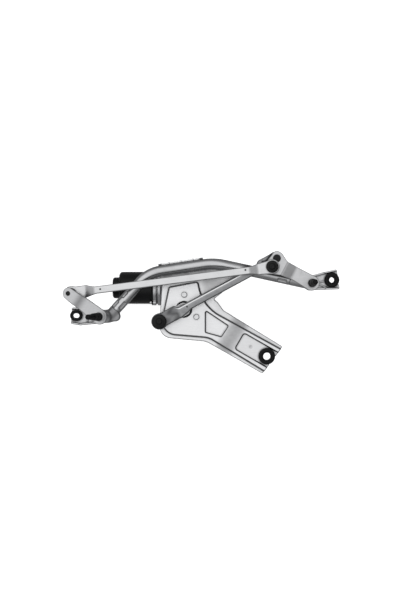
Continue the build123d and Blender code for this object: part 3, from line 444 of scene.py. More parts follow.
def surface(name, light, dark, metallic=1.0, rough=0.4, rough_spread=0.12, grain=0.6, stretch=1.0, turn=0.0,
            mottle=14.0, bump=0.03, shade_strength=0.6, reach=3.0, specks=0.0, shine=0.5):
    """One finish: fine grain, larger mottling, specks, painted highlight and painted shade from a per-point
    attribute (with some darker tone), and painted shade in the corners from ambient occlusion. Sizes in
    millimetres.
    """
    material = bpy.data.materials.new(name)
    n = Nodes(material)
    place = n.add("TexCoord").outputs["Object"]
    drawn = n.add("Mapping", {"Vector": place, "Rotation": (0, 0, turn), "Scale": (1 / stretch, 1, 1)})
    fine = n.noise(drawn.outputs["Vector"], grain, 5.0, 0.65)
    cloud = n.noise(place, mottle, 4.0, 0.6)
    blend = n.add("Mix", {"Factor": CLOUD_SHARE, "A": cloud, "B": fine}, data_type="FLOAT").outputs[0]
    colour = n.mixed(n.spread(blend, 0.36, 0.64), (*dark, 1), (*light, 1))
    if specks:
        spots = n.add("TexVoronoi", {"Vector": place, "Scale": 1000 / SPECK_PITCH}).outputs["Distance"]
        colour = n.mixed(1.0, colour, n.spread(spots, 0.10, 0.22, 1 - specks), "MULTIPLY")
    # Per-point painted shading: below zero it paints a highlight colour, above zero it multiplies in painted shade
    # and darker tone.
    shading_and_tone = n.add("Attribute", attribute_name="shading_and_tone").outputs["Fac"]
    colour = n.mixed(n.spread(shading_and_tone, 0.0, -1.0), colour, PAINTED_HIGHLIGHT)
    colour = n.mixed(shading_and_tone, colour, DARK_SHADE_AND_TONE, "MULTIPLY")
    # Painted shade in corners and recesses, from ambient occlusion.
    corners = n.add("AmbientOcclusion", {"Distance": reach * MM}, samples=6).outputs["AO"]
    colour = n.mixed(1.0, colour, n.spread(corners, 0.50, 0.95, 1 - shade_strength), "MULTIPLY")
    gloss = n.spread(blend, 0.3, 0.7, rough - rough_spread, rough + rough_spread)
    relief = n.add("Bump", {"Strength": 0.6, "Distance": bump * MM, "Height": fine}).outputs["Normal"]
    shader = n.add("BsdfPrincipled", {"Metallic": metallic, "Specular IOR Level": shine, "Base Color": colour,
                                      "Roughness": gloss, "Normal": relief})
    n.add("OutputMaterial", {"Surface": shader.outputs["BSDF"]})
    return material


def grey(value, cool=0.01):
    """A neutral colour, a little blue."""
    return (value, value + cool * 0.4, value + cool)


FINISH = {
    "plate_steel": surface(
        "bright_zinc_sheet", grey(0.80), grey(0.66), rough=0.34, grain=0.9, stretch=4, turn=-ARM_ANGLE,
        mottle=20, bump=0.02, shade_strength=0.80, reach=4.5, specks=0.10),
    "tube_steel": surface(
        "zinc_plated_tube", grey(0.58), grey(0.44), rough=0.24, rough_spread=0.06, grain=0.7, stretch=9,
        mottle=16, bump=0.02, shade_strength=0.75, reach=6.0),
    "cast_aluminium": surface(
        "die_cast_aluminium", grey(0.66), grey(0.50), rough=0.42, grain=0.8, mottle=9, bump=0.05, shade_strength=0.72,
        reach=4.5, specks=0.1),
    "crank_steel": surface(
        "brushed_zinc_crank", grey(0.68), grey(0.54), rough=0.44, grain=0.5, stretch=12,
        turn=math.radians(-60), mottle=12, shade_strength=0.75, reach=4.0, specks=0.08),
    "link_steel": surface(
        "zinc_plated_rod", grey(0.68), grey(0.54), rough=0.32, stretch=14, turn=math.radians(-6), mottle=10,
        shade_strength=0.75, reach=4.0),
    # The drive rod is the link rod's zinc-plated steel, made darker as painted shade for a face turned away from
    # the light.
    "drive_steel": surface(
        "rod_steel_painted_dark", grey(0.38), grey(0.22), rough=0.34, grain=0.8, stretch=3, turn=math.radians(-30),
        mottle=7, bump=0.05, shade_strength=0.75, reach=4.0, specks=0.35),
    "shaft_steel": surface(
        "ground_steel", grey(0.60), grey(0.46), rough=0.26, grain=0.5, stretch=5, mottle=8, bump=0.02,
        shade_strength=0.5, reach=2.0),
    "fastener_steel": surface(
        "zinc_fastener", grey(0.74), grey(0.56), rough=0.34, mottle=5, shade_strength=0.8, reach=2.5),
    "black_rubber": surface(
        "moulded_rubber", grey(0.006, 0.0006), grey(0.003, 0.0003), metallic=0, rough=0.50, grain=0.5,
        mottle=6, bump=0.05, shade_strength=0.5, specks=0.3, shine=0.16),
    "black_plastic": surface(
        "moulded_acetal", grey(0.006, 0.0006), grey(0.003, 0.0003), metallic=0, rough=0.27, grain=0.35,
        mottle=8, shade_strength=0.4, shine=0.20),
    "sleeve_black": surface(
        "coated_sleeve", grey(0.012, 0.001), grey(0.007, 0.0005), metallic=0, rough=0.42, grain=0.5, mottle=5,
        bump=0.02, shade_strength=0.5, reach=2.0, shine=0.25),
    "motor_paint": surface(
        "satin_black_paint", grey(0.005, 0.0006), grey(0.003, 0.0003), metallic=0, rough=0.30, grain=0.5,
        mottle=18, bump=0.02, shade_strength=0.4, reach=4.0, shine=0.20),
    "sintered_bronze": surface(
        "sintered_bronze", (0.44, 0.33, 0.20), (0.30, 0.21, 0.12), rough=0.5, grain=0.3, mottle=4, shade_strength=0.5),
    "copper": surface(
        "copper_winding", (0.62, 0.30, 0.16), (0.44, 0.19, 0.09), rough=0.36, grain=0.4, mottle=4),
    "ferrite": surface("ferrite", grey(0.06), grey(0.04), metallic=0, rough=0.6, grain=0.3, mottle=6),
    "carbon": surface(
        "carbon_brush", grey(0.035), grey(0.02), metallic=0, rough=0.55, grain=0.3, mottle=4, bump=0.02),
    "gear_plastic": surface(
        "moulded_gear", (0.62, 0.58, 0.46), (0.52, 0.48, 0.38), metallic=0, rough=0.42, mottle=9, bump=0.02,
        grain=0.4),
    "core_steel": surface(
        "lamination_stack", grey(0.34), grey(0.24), rough=0.45, grain=0.5, stretch=0.1, mottle=6, bump=0.05),
}


# ---------------------------------------------------------------- pieces
def show(name, mesh, slot, body, node):
    """A finished piece that rides on a body in place of a CAD node."""
    piece = bpy.data.objects.new(name, mesh)
    bpy.context.scene.collection.objects.link(piece)
    mesh.materials.clear()
    mesh.materials.append(FINISH[slot])
    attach(piece, body)
    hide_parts(node)


# Small CAD solids that stay, with how far each one's corners are broken.
BROKEN_EDGES = {
    "crank_nut": 0.5, "motor_crank": 0.8, "gear_cover": 0.5, "cover_screws": 0.4, "connector_socket": 0.5,
    "connector_terminals": 0.15, "yoke_screws": 0.4, "output_washer": 0.3, "output_seal": 0.4,
    "right_thrust_washer": 0.3, "left_thrust_washer": 0.3, "right_spindle_clip": 0.15,
    "left_spindle_clip": 0.15, "brush_holder": 0.2, "carbon_brushes": 0.2,
}
SHARP_CORNER = math.radians(40)


def paint_cad_nodes():
    """Gives each CAD node the finish of its slot, and the listed small ones a small round on their corners."""
    for part in frame["record"]["subparts"]:
        node = frame["nodes"][part["node"]]
        for place in node.material_slots:
            place.material = FINISH[part["material_slot"]]
        if part["node"] in BROKEN_EDGES:
            round_off = node.modifiers.new("broken_edge", "BEVEL")
            round_off.width = BROKEN_EDGES[part["node"]] * MM
            round_off.segments = 2
            round_off.limit_method = "ANGLE"
            round_off.angle_limit = SHARP_CORNER
            round_off.harden_normals = True


# ---------------------------------------------------------------- motor plate
# A sheet pressed into a raised middle, a cranked arm and two recesses, and wrapped under the tube.
PLATE_EDGE = rounded(
    [(-217, 38), (-211, 148), (-215.5, 153), (-215.5, 172), (-108, 186.5), (-44, 180), (-90, 127),
     (-106, 115), (-98, 108), (-87, 92.5), (32.7, 19.4), (-8.6, -35.9), (-122.3, 29.5)],
    [25, 3, 2, 2, 40, 4, 3, 2, 6, 10, 3, 3, 40],
)
PLATEAU_EDGE = rounded(
    [(-218, 44.5), (-197.6, 140.2), (-137.5, 151.6), (-127, 101.5), (50, 4.2), (20, -47.6), (-117, 36)],
    [30, 6, 6, 80, 2, 2, 40],
)
TRAPEZOID_EDGE = rounded([(-125, 95), (-75, 61.5), (-91, 37.5), (-125, 47)], [4, 4, 4, 4], 0.8)
TONGUE_EDGE = rounded([(-46.5, 49), (45, -3.5), (19, -35), (-66.5, 14.5)], [7, 2, 2, 7], 0.8)
STEP_RUN = 3.8
RECESS_RUN = 3.0
WALL_SHIFT = 1.7
DIMPLE = (-32.0, 18.6)
DIMPLE_DEPTH = 0.7
RIM_DROP, RIM_RUN = 2.2, 3.2
SADDLE = Axes((-171.25, 177.2, 19.0), (0.9891, 0.1470, 0), (-0.1470, 0.9891, 0))
SADDLE_HALF = 45.0
PLATE_BOX = ((-218, -50, -14), (45, 204, 23))
LIP_PITCH = 24.0
LIP_WIDE = 3.4
BOSS_HOLE_R = 16.2
# Painted shadows, dark smears between the raised middle and the tube: centre, half length and half width.
SHADOW_SMEARS = (((-203, 161), 14, 3.2), ((-143.5, 168.4), 6, 2.2))
SHADOW_SMEAR_RUN = (1.0, 0.147)
# How dark the painted shade is on the pressed walls and round the recesses.
WALL_SHADE, RECESS_SHADE = 0.95, 0.88
# A faint fold in the flange, right of the raised middle, drawn only as painted shade: a dark line and a darker
# flange beyond it.
PAINTED_FOLD = (-116.2, 141.5)
SEAT_R = 11.0


def plate_level(x, y, under):
    """Height of the pressed sheet; under is 0 for its front face and 1 for its back."""
    along = x * math.cos(ARM_ANGLE) + y * math.sin(ARM_ANGLE)
    bend = (along - ARM_BEND[0] + 8) / (ARM_BEND[1] - ARM_BEND[0] + 18)
    level = PLATEAU_TOP - ARM_DROP * ease(bend)
    shift = WALL_SHIFT * under
    level = level - FLANGE_DROP * ease((polygon(x, y, PLATEAU_EDGE) + STEP_RUN + shift) / STEP_RUN)
    for edge in (TRAPEZOID_EDGE, TONGUE_EDGE):
        level = level - EMBOSS * ease(-(polygon(x, y, edge) - shift) / RECESS_RUN)
    lip = np.clip(1 + (polygon(x, y, PLATE_EDGE) - 0.6 * shift) / RIM_RUN, 0, 1)
    level = level - RIM_DROP * lip ** 3
    level = level - DIMPLE_DEPTH * np.exp(-((x - DIMPLE[0]) ** 2 + (y - DIMPLE[1]) ** 2) / 12)
    return level - SHEET * under


def plate_shading(x, y, z):
    """Painted shade on the pressed walls, round the recesses and the dimple, in the groove under the tube, along a
    fold in the right flange and on the flange near the drive rod; painted shadows between the raised middle and
    the tube and at the saddle lip's ends; a painted highlight along the lip; slightly darker inside the tongue.
    """
    off = polygon(x, y, PLATEAU_EDGE)
    level = plate_level(x, y, 0)
    front = ease((z - level + 1.5) / 0.8)
    dark_shade_and_tone = WALL_SHADE * line_at(off + 0.5 * STEP_RUN, 1.35)
    for edge in (TRAPEZOID_EDGE, TONGUE_EDGE):
        dark_shade_and_tone = np.maximum(dark_shade_and_tone, RECESS_SHADE * line_at(polygon(x, y, edge) + 0.5 * RECESS_RUN, 1.2))
    dark_shade_and_tone = np.maximum(dark_shade_and_tone, 0.30 * ease((4.6 - disc(x, y, 0, DIMPLE)) / 1.2))
    dark_shade_and_tone = np.maximum(dark_shade_and_tone, 0.10 * ease(-polygon(x, y, TONGUE_EDGE) / 3))
    u, v, w = SADDLE.see([x, y, z])
    groove_shade = ease(off / 1.5) * ease((u + 34) / 10) * ease((8 - u) / 6) * (0.45 + 0.2 * np.sin(w / 6.5))
    dark_shade_and_tone = np.maximum(dark_shade_and_tone, groove_shade * ease((62 - w) / 12))
    for centre, long_half, half in SHADOW_SMEARS:
        along, across = beside(x, y, centre, SHADOW_SMEAR_RUN)
        shadow_smear = ease((long_half - np.abs(along)) / 2 + 0.5) * line_at(across, half)
        dark_shade_and_tone = np.maximum(dark_shade_and_tone, WALL_SHADE * shadow_smear)
    fold = (x - PAINTED_FOLD[0]) + 0.25 * (y - PAINTED_FOLD[1])
    beyond = ease(fold / 3) * ease((off - 1) / 2) * ease((y - 118) / 10)
    dark_shade_and_tone = np.maximum(dark_shade_and_tone, np.maximum(0.16 * beyond, 0.4 * line_at(fold, 0.9) * ease((off - 1) / 2)
                                         * ease((y - 128) / 6)))
    drive_rod_shade = ease(((x + 110) * 0.52 + (y - 70) * 0.854) / 4) * ease((x + 112) / 10)
    dark_shade_and_tone = np.maximum(dark_shade_and_tone, 0.15 * drive_rod_shade * ease((off - 1) / 2)) * front
    # Painted highlight along the saddle lip, painted shadow at its folded ends.
    lip_light = ease((u - TUBE_R + 1) / 0.6) * ease((v + 2.5) / 1.5)
    lip_end_shadow = ease((np.abs(w) - SADDLE_HALF + 9) / 3)
    return dark_shade_and_tone * (1 - lip_light) + lip_light * (1.25 * lip_end_shadow - 0.45)


def motor_plate():
    mouth = ARM_ANGLE - math.radians(5)
    mouth_end = (40 * math.cos(mouth), 40 * math.sin(mouth))

    def field(p):
        x, y, z = p
        sheet = keep(z - plate_level(x, y, 0), plate_level(x, y, 1) - z, 0.1)
        hole = disc(x, y, BOSS_HOLE_R, SHAFT.origin)
        seat = fuse(disc(x, y, SEAT_R), bar(x, y, (0, 0), mouth_end, 10))
        plan = cut(cut(polygon(x, y, PLATE_EDGE), hole), seat, 0.6)
        sheet = keep(sheet, plan, 0.9)
        u, v, w = SADDLE.see(p)
        ends = between(w, -SADDLE_HALF, SADDLE_HALF)
        around = np.hypot(u, v)
        cradle = keep(np.abs(around - TUBE_R - SHEET / 2) - SHEET / 2, v, 0.3)
        cradle = keep(cradle, -u, 0.3)
        bumps = np.maximum(np.cos(w * 2 * math.pi / LIP_PITCH), 0) ** 8
        lip = keep(between(u, TUBE_R, TUBE_R + LIP_WIDE + 0.9 * bumps), between(v, -1.5, 2.2 + bumps), 0.5)
        return fuse(sheet, keep(fuse(cradle, lip, 0.5), ends, 0.8), 1.5)

    low, high = PLATE_BOX
    mesh = cast("motor_plate", field, low, high, cell=0.8, share=0.45, shading_and_tone=plate_shading)
    show("motor_plate_sheet", mesh, "plate_steel", "frame", "motor_plate")


def joggled(s, start, stop, rise, soft=2.5):
    """Height of a bent strip's middle at a distance along it, with soft bends."""
    steps = np.linspace(-soft, soft, 5)
    return sum(np.interp(s + step, [start, stop], [0, rise]) for step in steps) / len(steps)


def crank(name, axes, angle, plan, start, stop, rise, soft, holes, node, shading_and_tone):
    """A spindle crank: a blank with a joggle, its edges rolled over by the press."""
    heading = (math.cos(angle), math.sin(angle))

    def field(p):
        u, v, w = axes.see(p)
        middle_w = joggled(u * heading[0] + v * heading[1], start, stop, rise, soft)
        steep = rise / (stop - start)
        sheet = (np.abs(w - middle_w) - CRANK_HALF) / math.hypot(1, steep * 0.6)
        solid = keep(sheet, plan(u, v), 1.3)
        for x, y, radius in holes:
            solid = cut(solid, disc(u, v, radius, (x, y)), 0.6)
        ring = keep(np.abs(np.hypot(u, v) - 7.9) - 1.0, between(w, 0, CRANK_HALF + 1.0), 0.8)
        return fuse(solid, ring, 0.8)

    # Painted shade along the rolled edges, over the painted shading along the crank.
    def shading_and_tone_of(x, y, z):
        u, v, _ = axes.see([x, y, z])
        edge = 0.5 * line_at(plan(u, v) + 0.4, 0.9)
        base = shading_and_tone(u * heading[0] + v * heading[1])
        return base + edge * (1 - base)

    mesh = cast(name, field, *box_of(node), cell=0.7, share=0.4, shading_and_tone=shading_and_tone_of)
    show(name, mesh, "crank_steel", node, node)


RIGHT_EDGE = rounded(
    [(4, 14.4), (-30, 32.2), (-49, 42), (-60, 58.5), (-72, 66), (-88.3, 44.5), (-96, 24), (-80, 17.5),
     (-62, 14.6), (-40, 7), (-6, -13.7)],
    [0, 20, 10, 10, 8, 12, 8, 20, 20, 20, 0],
)


def cranks():
    def right_plan(u, v):
        return fuse(polygon(u, v, RIGHT_EDGE), disc(u, v, 15), 2)

    def left_plan(u, v):
        wide, narrow = 15.5, 12.0
        reach = math.hypot(*BALL_C)
        lean = math.asin((wide - narrow) / reach)
        heading = math.atan2(BALL_C[1], BALL_C[0])
        sides = []
        for side in (1, -1):
            a = heading + side * (math.pi / 2 - lean)
            sides.append(np.array([(wide * math.cos(a), wide * math.sin(a)),
                                   (BALL_C[0] + narrow * math.cos(a), BALL_C[1] + narrow * math.sin(a))]))
        body = polygon(u, v, [*sides[0], *sides[1][::-1]])
        return fuse(fuse(body, disc(u, v, wide)), disc(u, v, narrow, BALL_C))

    # Painted shading along each crank: on the right a dark line at the outer bend and a painted highlight over the
    # joggle facet, on the left painted shade across the joggle.
    crank("right_crank_plate", RIGHT, math.radians(152.3), right_plan, 40.6, 61.4, RIGHT_JOGGLE, 2.5,
          [(0, 0, 6.5), (*BALL_A, 4.0), (*BALL_B, 4.0)], "right_crank",
          lambda s: 0.45 * line_at(s - 62.5, 0.8) - 0.5 * window(s, 39, 63, 3))
    crank("left_crank_plate", LEFT, math.atan2(BALL_C[1], BALL_C[0]), left_plan, 44, 60, LEFT_JOGGLE, 7.0,
          [(0, 0, 6.5), (*BALL_C, 4.0)], "left_crank", lambda s: 0.42 * line_at(s - 51, 10))


# ---------------------------------------------------------------- rods
SOCKET_R = 11.4
DRIVE_LOW, DRIVE_TOP = 35.0, 44.0
# The lowered strip along the drive rod's upper edge.
STRIP_WIDE, STRIP_DROP = 2.8, 0.9
# Painted shadows at the rod's far end, black lines beside the crank tip and the link rod: two ends and a half
# width.
ROD_SHADOWS = (((-2.8, 191.2), (6.3, 203.2), 2.6), ((-11.4, 188.9), (-1, 191.2), 1.8))


def drive_rod():
    start, stop = BALL_B2[:2], POINT_A[:2]
    run = unit(stop - start)
    reach = np.linalg.norm(stop - start)

    def plan(x, y):
        s, t = beside(x, y, start, run)
        near = np.where(t > 0, 6 * ease((s - 38) / 9), 2.4 * ease((s - 43) / 14) + 3.6 * ease((s - 56) / 14))
        half = 14 - near + 6 * ease((s - reach + 43) / 11)
        strip = keep((np.abs(t) - half) / 1.04, between(s, 0, reach), 0.1)
        ends = fuse(disc(s, t, 16), disc(s, t, 14, (reach, 0)))
        return fuse(strip, ends, 3), s, t

    def field(p):
        x, y, z = p
        edge, s, t = plan(x, y)
        top = DRIVE_TOP - 0.8 * ease(1 - np.abs(s - 28) / 12) * ease(1.4 - np.abs(t) / 8)
        top = top - STRIP_DROP * ease((edge + STRIP_WIDE) / 1.2) * ease((t - 2) / 2) * ease((s - 40) / 8)
        outer = keep(edge, z - top, 3.2)
        inner = keep(edge + ROD_WALL, z - top + ROD_WALL, 1.2)
        solid = keep(cut(outer, inner, 0.3), DRIVE_LOW - z, 0.5)
        solid = cut(solid, disc(s, t, SOCKET_R), 0.5)
        solid = cut(solid, disc(s, t, SOCKET_R, (reach, 0)), 0.5)
        return cut(solid, disc(s, t, 1.5, (62, 0)), 0.5)

    # A darker mottled tone on the wide near end; painted shade on the lower half of the bar, along its edges and
    # on the lowered strip; a painted highlight line beside the upper edge; painted black shadows at the far end.
    def shading_and_tone_of(x, y, _):
        edge, s, t = plan(x, y)
        dark_shade_and_tone = 0.66 * ease((48 - s) / 10) * (0.85 + 0.22 * np.sin(s / 4.3 + 1.7 * np.sin(t / 3.7)))
        dark_shade_and_tone = np.maximum(dark_shade_and_tone, 0.22 * ease((s - 40) / 12) * ease((2.5 - t) / 5))
        dark_shade_and_tone = np.maximum(dark_shade_and_tone, 0.75 * line_at(edge + 0.6, 0.8) * ease((4 - t) / 4))
        highlight_span = ease((t - 2) / 2) * ease((s - 38) / 8) * ease((reach - 34 - s) / 6)
        dark_shade_and_tone = np.maximum(dark_shade_and_tone, 0.2 * ease((edge + STRIP_WIDE) / 0.5) * highlight_span)
        dark_shade_and_tone = dark_shade_and_tone - 1.1 * line_at(edge + STRIP_WIDE + 1.1, 0.8) * highlight_span
        for a, b, half in ROD_SHADOWS:
            shadow_line = line_at(bar(x, y, a, b, 0), half)
            dark_shade_and_tone = dark_shade_and_tone * (1 - shadow_line) + shadow_line
        return dark_shade_and_tone

    mesh = cast("drive_rod_channel", field, *box_of("drive_rod"), cell=0.7, share=0.85, shading_and_tone=shading_and_tone_of)
    show("drive_rod_channel", mesh, "drive_steel", "drive_rod", "drive_rod")


LINK_Q1 = (-345.0, 132.2)
LINK_Q2 = (-36.0, 171.3)
LINK_HALF = 7.4
LEFT_SOCKET_R = 9.8
LINK_BAR = (40.0, 60.0)
LINK_DEPTH = 8.0


def link_rod():
    start, stop = POINT_C[:2], POINT_B[:2]
    run = unit(stop - start)
    reach = np.linalg.norm(stop - start)
    tops = (POINT_C[2] + 5, POINT_B[2] + 5)
    stations = [-25, 28, 48, reach - 46, reach - 28, reach + 25]
    heights = [tops[0], tops[0], LINK_BAR[0], LINK_BAR[1], tops[1], tops[1]]
    pips = [(59.0, 0.9), (reach - 52.8, 0.6)]
    flares = [
        [(start[0], start[1] + 13), (-361, 142.8), (LINK_Q1[0], LINK_Q1[1] + LINK_HALF),
         (LINK_Q1[0] + 4, LINK_Q1[1] - LINK_HALF + 0.6), (-361, 117.5), (start[0], start[1] - 13)],
        [(LINK_Q2[0], LINK_Q2[1] + LINK_HALF), (-23, 183.5), (stop[0], stop[1] + 14),
         (stop[0], stop[1] - 14), (-20, 162), (LINK_Q2[0], LINK_Q2[1] - LINK_HALF)],
    ]

    def plan(x, y):
        edge = bar(x, y, LINK_Q1, LINK_Q2, LINK_HALF)
        for flare in flares:
            edge = fuse(edge, polygon(x, y, np.array(flare)), 2)
        return fuse(fuse(edge, disc(x, y, 15, start), 2), disc(x, y, 14.6, stop), 2)

    def top_of(s):
        steps = np.linspace(-3, 3, 5)
        return sum(np.interp(s + step, stations, heights) for step in steps) / len(steps)

    def field(p):
        x, y, z = p
        s, t = beside(x, y, start, run)
        edge = plan(x, y)
        top = top_of(s)
        outer = keep(edge, z - top, 2.6)
        inner = keep(edge + ROD_WALL, z - top + ROD_WALL, 1.0)
        solid = keep(cut(outer, inner, 0.3), top - LINK_DEPTH - z, 0.5)
        solid = cut(solid, disc(x, y, LEFT_SOCKET_R, start), 0.5)
        solid = cut(solid, disc(x, y, SOCKET_R, stop), 0.5)
        for pip in pips:
            solid = cut(solid, keep(disc(s, t, 1.4, pip), top - 1.1 - z, 0.1), 0.2)
        return solid

    # Painted shade on the two sloping bends, in the pips and along the edges.
    def shading_and_tone_of(x, y, _):
        s, t = beside(x, y, start, run)
        bends = 0.14 * window(s, 27, 49, 2) + 0.34 * window(s, reach - 47, reach - 27, 2)
        for pip in pips:
            bends = np.maximum(bends, ease((2.2 - disc(s, t, 0, pip)) / 0.8))
        return np.maximum(bends, 0.55 * line_at(plan(x, y) + 0.4, 0.8))

    mesh = cast("link_rod_channel", field, *box_of("link_rod"), cell=0.75, share=0.8, shading_and_tone=shading_and_tone_of)
    show("link_rod_channel", mesh, "link_steel", "link_rod", "link_rod")


# ---------------------------------------------------------------- frame tube
TUBE_ROUTE = [(-303.0, 94.0, 19.0), (-236.5, 167.5, 19.0), (-106.0, 186.9, 19.0), (45.3, 153.7, 19.0)]
TUBE_BENDS = [70.0, 120.0]
TUBE_BORE = 9.5
CRIMP_DEPTH = 1.5
BEND_STEP = 0.8
TUBE_SIDES = 80
# Rings along the tube: close together over the crimped ends, wider between them.
FINE_END, FINE_STEP, PLAIN_STEP = 46, 0.8, 2.5
# Windows near each end: start, stop, middle and half width in degrees.
CRIMPS = ((6, 25, 62, 17), (1, 17, 124, 15), (27, 42, 118, 13))


def tube_line(step=0.5):
    """Points along the tube's middle, with its two bends, evenly spaced."""
    route = np.array(TUBE_ROUTE)
    made = [route[0]]
    for before, corner, after, radius in zip(route, route[1:], route[2:], TUBE_BENDS):
        made += corner_arc(before, corner, after, radius, BEND_STEP)
    made = np.array([*made, route[-1]])
    run = np.concatenate([[0], np.cumsum(np.linalg.norm(np.diff(made, axis=0), axis=1))])
    at = np.linspace(0, run[-1], round(run[-1] / step))
    return at, np.stack([np.interp(at, run, made[:, i]) for i in range(3)], 1)


def crimp(s, angle, length):
    """How far the wall is pressed in: windows near each end, where it grips the spigot."""
    pressed = 0
    for near, far, middle_angle, half in CRIMPS:
        for edge_s in (s, length - s):
            lengthwise = window(edge_s, near, far, 1.6)
            gap = np.degrees(np.abs(angle - math.radians(middle_angle)))
            pressed = np.maximum(pressed, lengthwise * ease((half - gap) / 7))
    return CRIMP_DEPTH * pressed


def frame_tube():
    at, line = tube_line()
    length = at[-1]
    stations = np.concatenate([
        np.arange(0, FINE_END, FINE_STEP), np.arange(FINE_END, length - FINE_END, PLAIN_STEP),
        length - np.arange(FINE_END, 0, -FINE_STEP), [length]])
    angles = np.linspace(0, 2 * math.pi, TUBE_SIDES, endpoint=False)
    outer, inner, tube_shading = [], [], []
    for s in stations:
        middle_point = np.array([np.interp(s, at, line[:, i]) for i in range(3)])
        ahead, behind = ([np.interp(s + step, at, line[:, i]) for i in range(3)] for step in (1, -1))
        heading = unit(np.subtract(ahead, behind))
        side = np.cross(heading, (0, 0, 1))
        spokes = np.multiply.outer(np.cos(angles), side) + np.multiply.outer(np.sin(angles), (0, 0, 1))
        rolled = 0.5 * max(0, 1 - min(s, length - s) / 0.9)
        pressed = crimp(s, angles, length)
        share = pressed / CRIMP_DEPTH
        # Painted light on the tube: a painted highlight band near its top, painted shade on its sides, more
        # painted shade over its right end, and painted shade on the walls of the crimp windows.
        turn = np.degrees(angles) + 24 * ease((s - 205) / 60)
        shade = 0.24 * ease((turn - 118) / 14) * ease((215 - turn) / 20) - 0.6 * line_at(turn - 104, 13)
        shade = np.maximum(shade, 0.40 * ease((62 - turn) / 22)) + 0.40 * ease((turn - 240) / 20)
        shade = shade + ease((s - length + 105) / 20) * (0.12 + 0.55 * ease((turn - 104) / 14))
        tube_shading.append(np.maximum(0.55 * np.minimum(1, 4 * share * (1 - share)), shade))
        outer.append(middle_point + spokes * (TUBE_R - rolled - pressed)[:, None])
        inner.append(middle_point + spokes * (TUBE_BORE - pressed)[:, None])
    mesh = swept("frame_tube", [*outer, *inner[::-1], outer[0]], closed_ends=False)
    shading_and_tone_of = mesh.attributes.new("shading_and_tone", "FLOAT", "POINT")
    inside = np.zeros(len(mesh.vertices) - len(stations) * TUBE_SIDES)
    shading_and_tone_of.data.foreach_set("value", np.concatenate([*tube_shading, inside]))
    weld(mesh)
    mesh.set_sharp_from_angle(angle=math.radians(45))
    show("frame_tube_drawn", mesh, "tube_steel", "frame", "frame_tube")


# ---------------------------------------------------------------- bearing housings
BOSS_TOP, BOSS_BOTTOM = -4.5, -44.0
BOSS_R, BORE_R = 12.5, 7.5
EAR_Z = (11.5, 16.5)
RIGHT_BUSH = (128.9, 153.0)
LEFT_BUSH = (-381.3, 81.8)


def spigot_axes(end, inward):
    """Axes at a tube end, z into the tube."""
    end, inward = np.array(end, float), np.array(inward, float)
    return Axes(end, inward - end)


def upright(p, a, b, width, low, high, draft=0.03):
    """A cast rib with round ends and a little draft."""
    x, y, z = p
    return keep(bar(x, y, a, b, width / 2) + draft * (z - (low + high) / 2), between(z, low, high), 0.9)


def housing(name, spindle, tube_end, inward, plan, seat, ribs, extras, reach, shade_strength, node):
    """A die-cast spindle housing: a boss, an eared plate with ribs, and a spigot in the tube."""
    tube = spigot_axes(tube_end, inward)

    def field(p):
        x, y, z = p
        plate = keep(polygon(x, y, plan), between(z, *EAR_Z), 0.8)
        solid = rod(spindle, p, BOSS_R, BOSS_BOTTOM, BOSS_TOP, 1.0)
        solid = fuse(solid, rod(tube, p, TUBE_R, -reach, -0.2, 1.2), 4)
        solid = fuse(solid, plate, 4)
        for a, b, width, bottom, top in ribs:
            solid = fuse(solid, upright(p, a, b, width, bottom, top), 2)
        for extra in extras:
            solid = fuse(solid, extra(p), 4)
        solid = cut(solid, seat(x, y), 0.5)
        solid = fuse(solid, rod(tube, p, 9.2, -1, 45, 1.2), 0.6)
        solid = cut(solid, rod(spindle, p, 9.0, BOSS_BOTTOM - 20, BOSS_BOTTOM, 0.1), 0.4)
        return cut(solid, rod(spindle, p, BORE_R, BOSS_BOTTOM - 6, BOSS_TOP + 6, 0.1), 0.6)

    # Painted shade low down near the tube end, and darker towards the bottom.
    def shading_and_tone_of(x, y, z):
        tube_end_shade = shade_strength * ease((38 - z) / 8) * ease((34 - disc(x, y, 0, tube.origin[:2])) / 8)
        return np.maximum(tube_end_shade, 0.22 * ease((9 - z) / 6))

    mesh = cast(name, field, *box_of(node), cell=0.85, share=0.4, shading_and_tone=shading_and_tone_of)
    show(name, mesh, "cast_aluminium", "frame", node)


def oval(x, y, length, width):
    """Distance outside an oval round the left bush, seen from above."""
    half = (length - width) / 2
    return bar(x, y, (LEFT_BUSH[0] - half, LEFT_BUSH[1]), (LEFT_BUSH[0] + half, LEFT_BUSH[1]), width / 2)


def foot(p):
    """The block between the left boss and the tube."""
    x, y, z = p
    return keep(bar(x, y, (-322, 80.5), (-303.5, 80.5), 10.3) + 0.04 * (z - 18.5), between(z, 9.5, 27.5), 3.0)


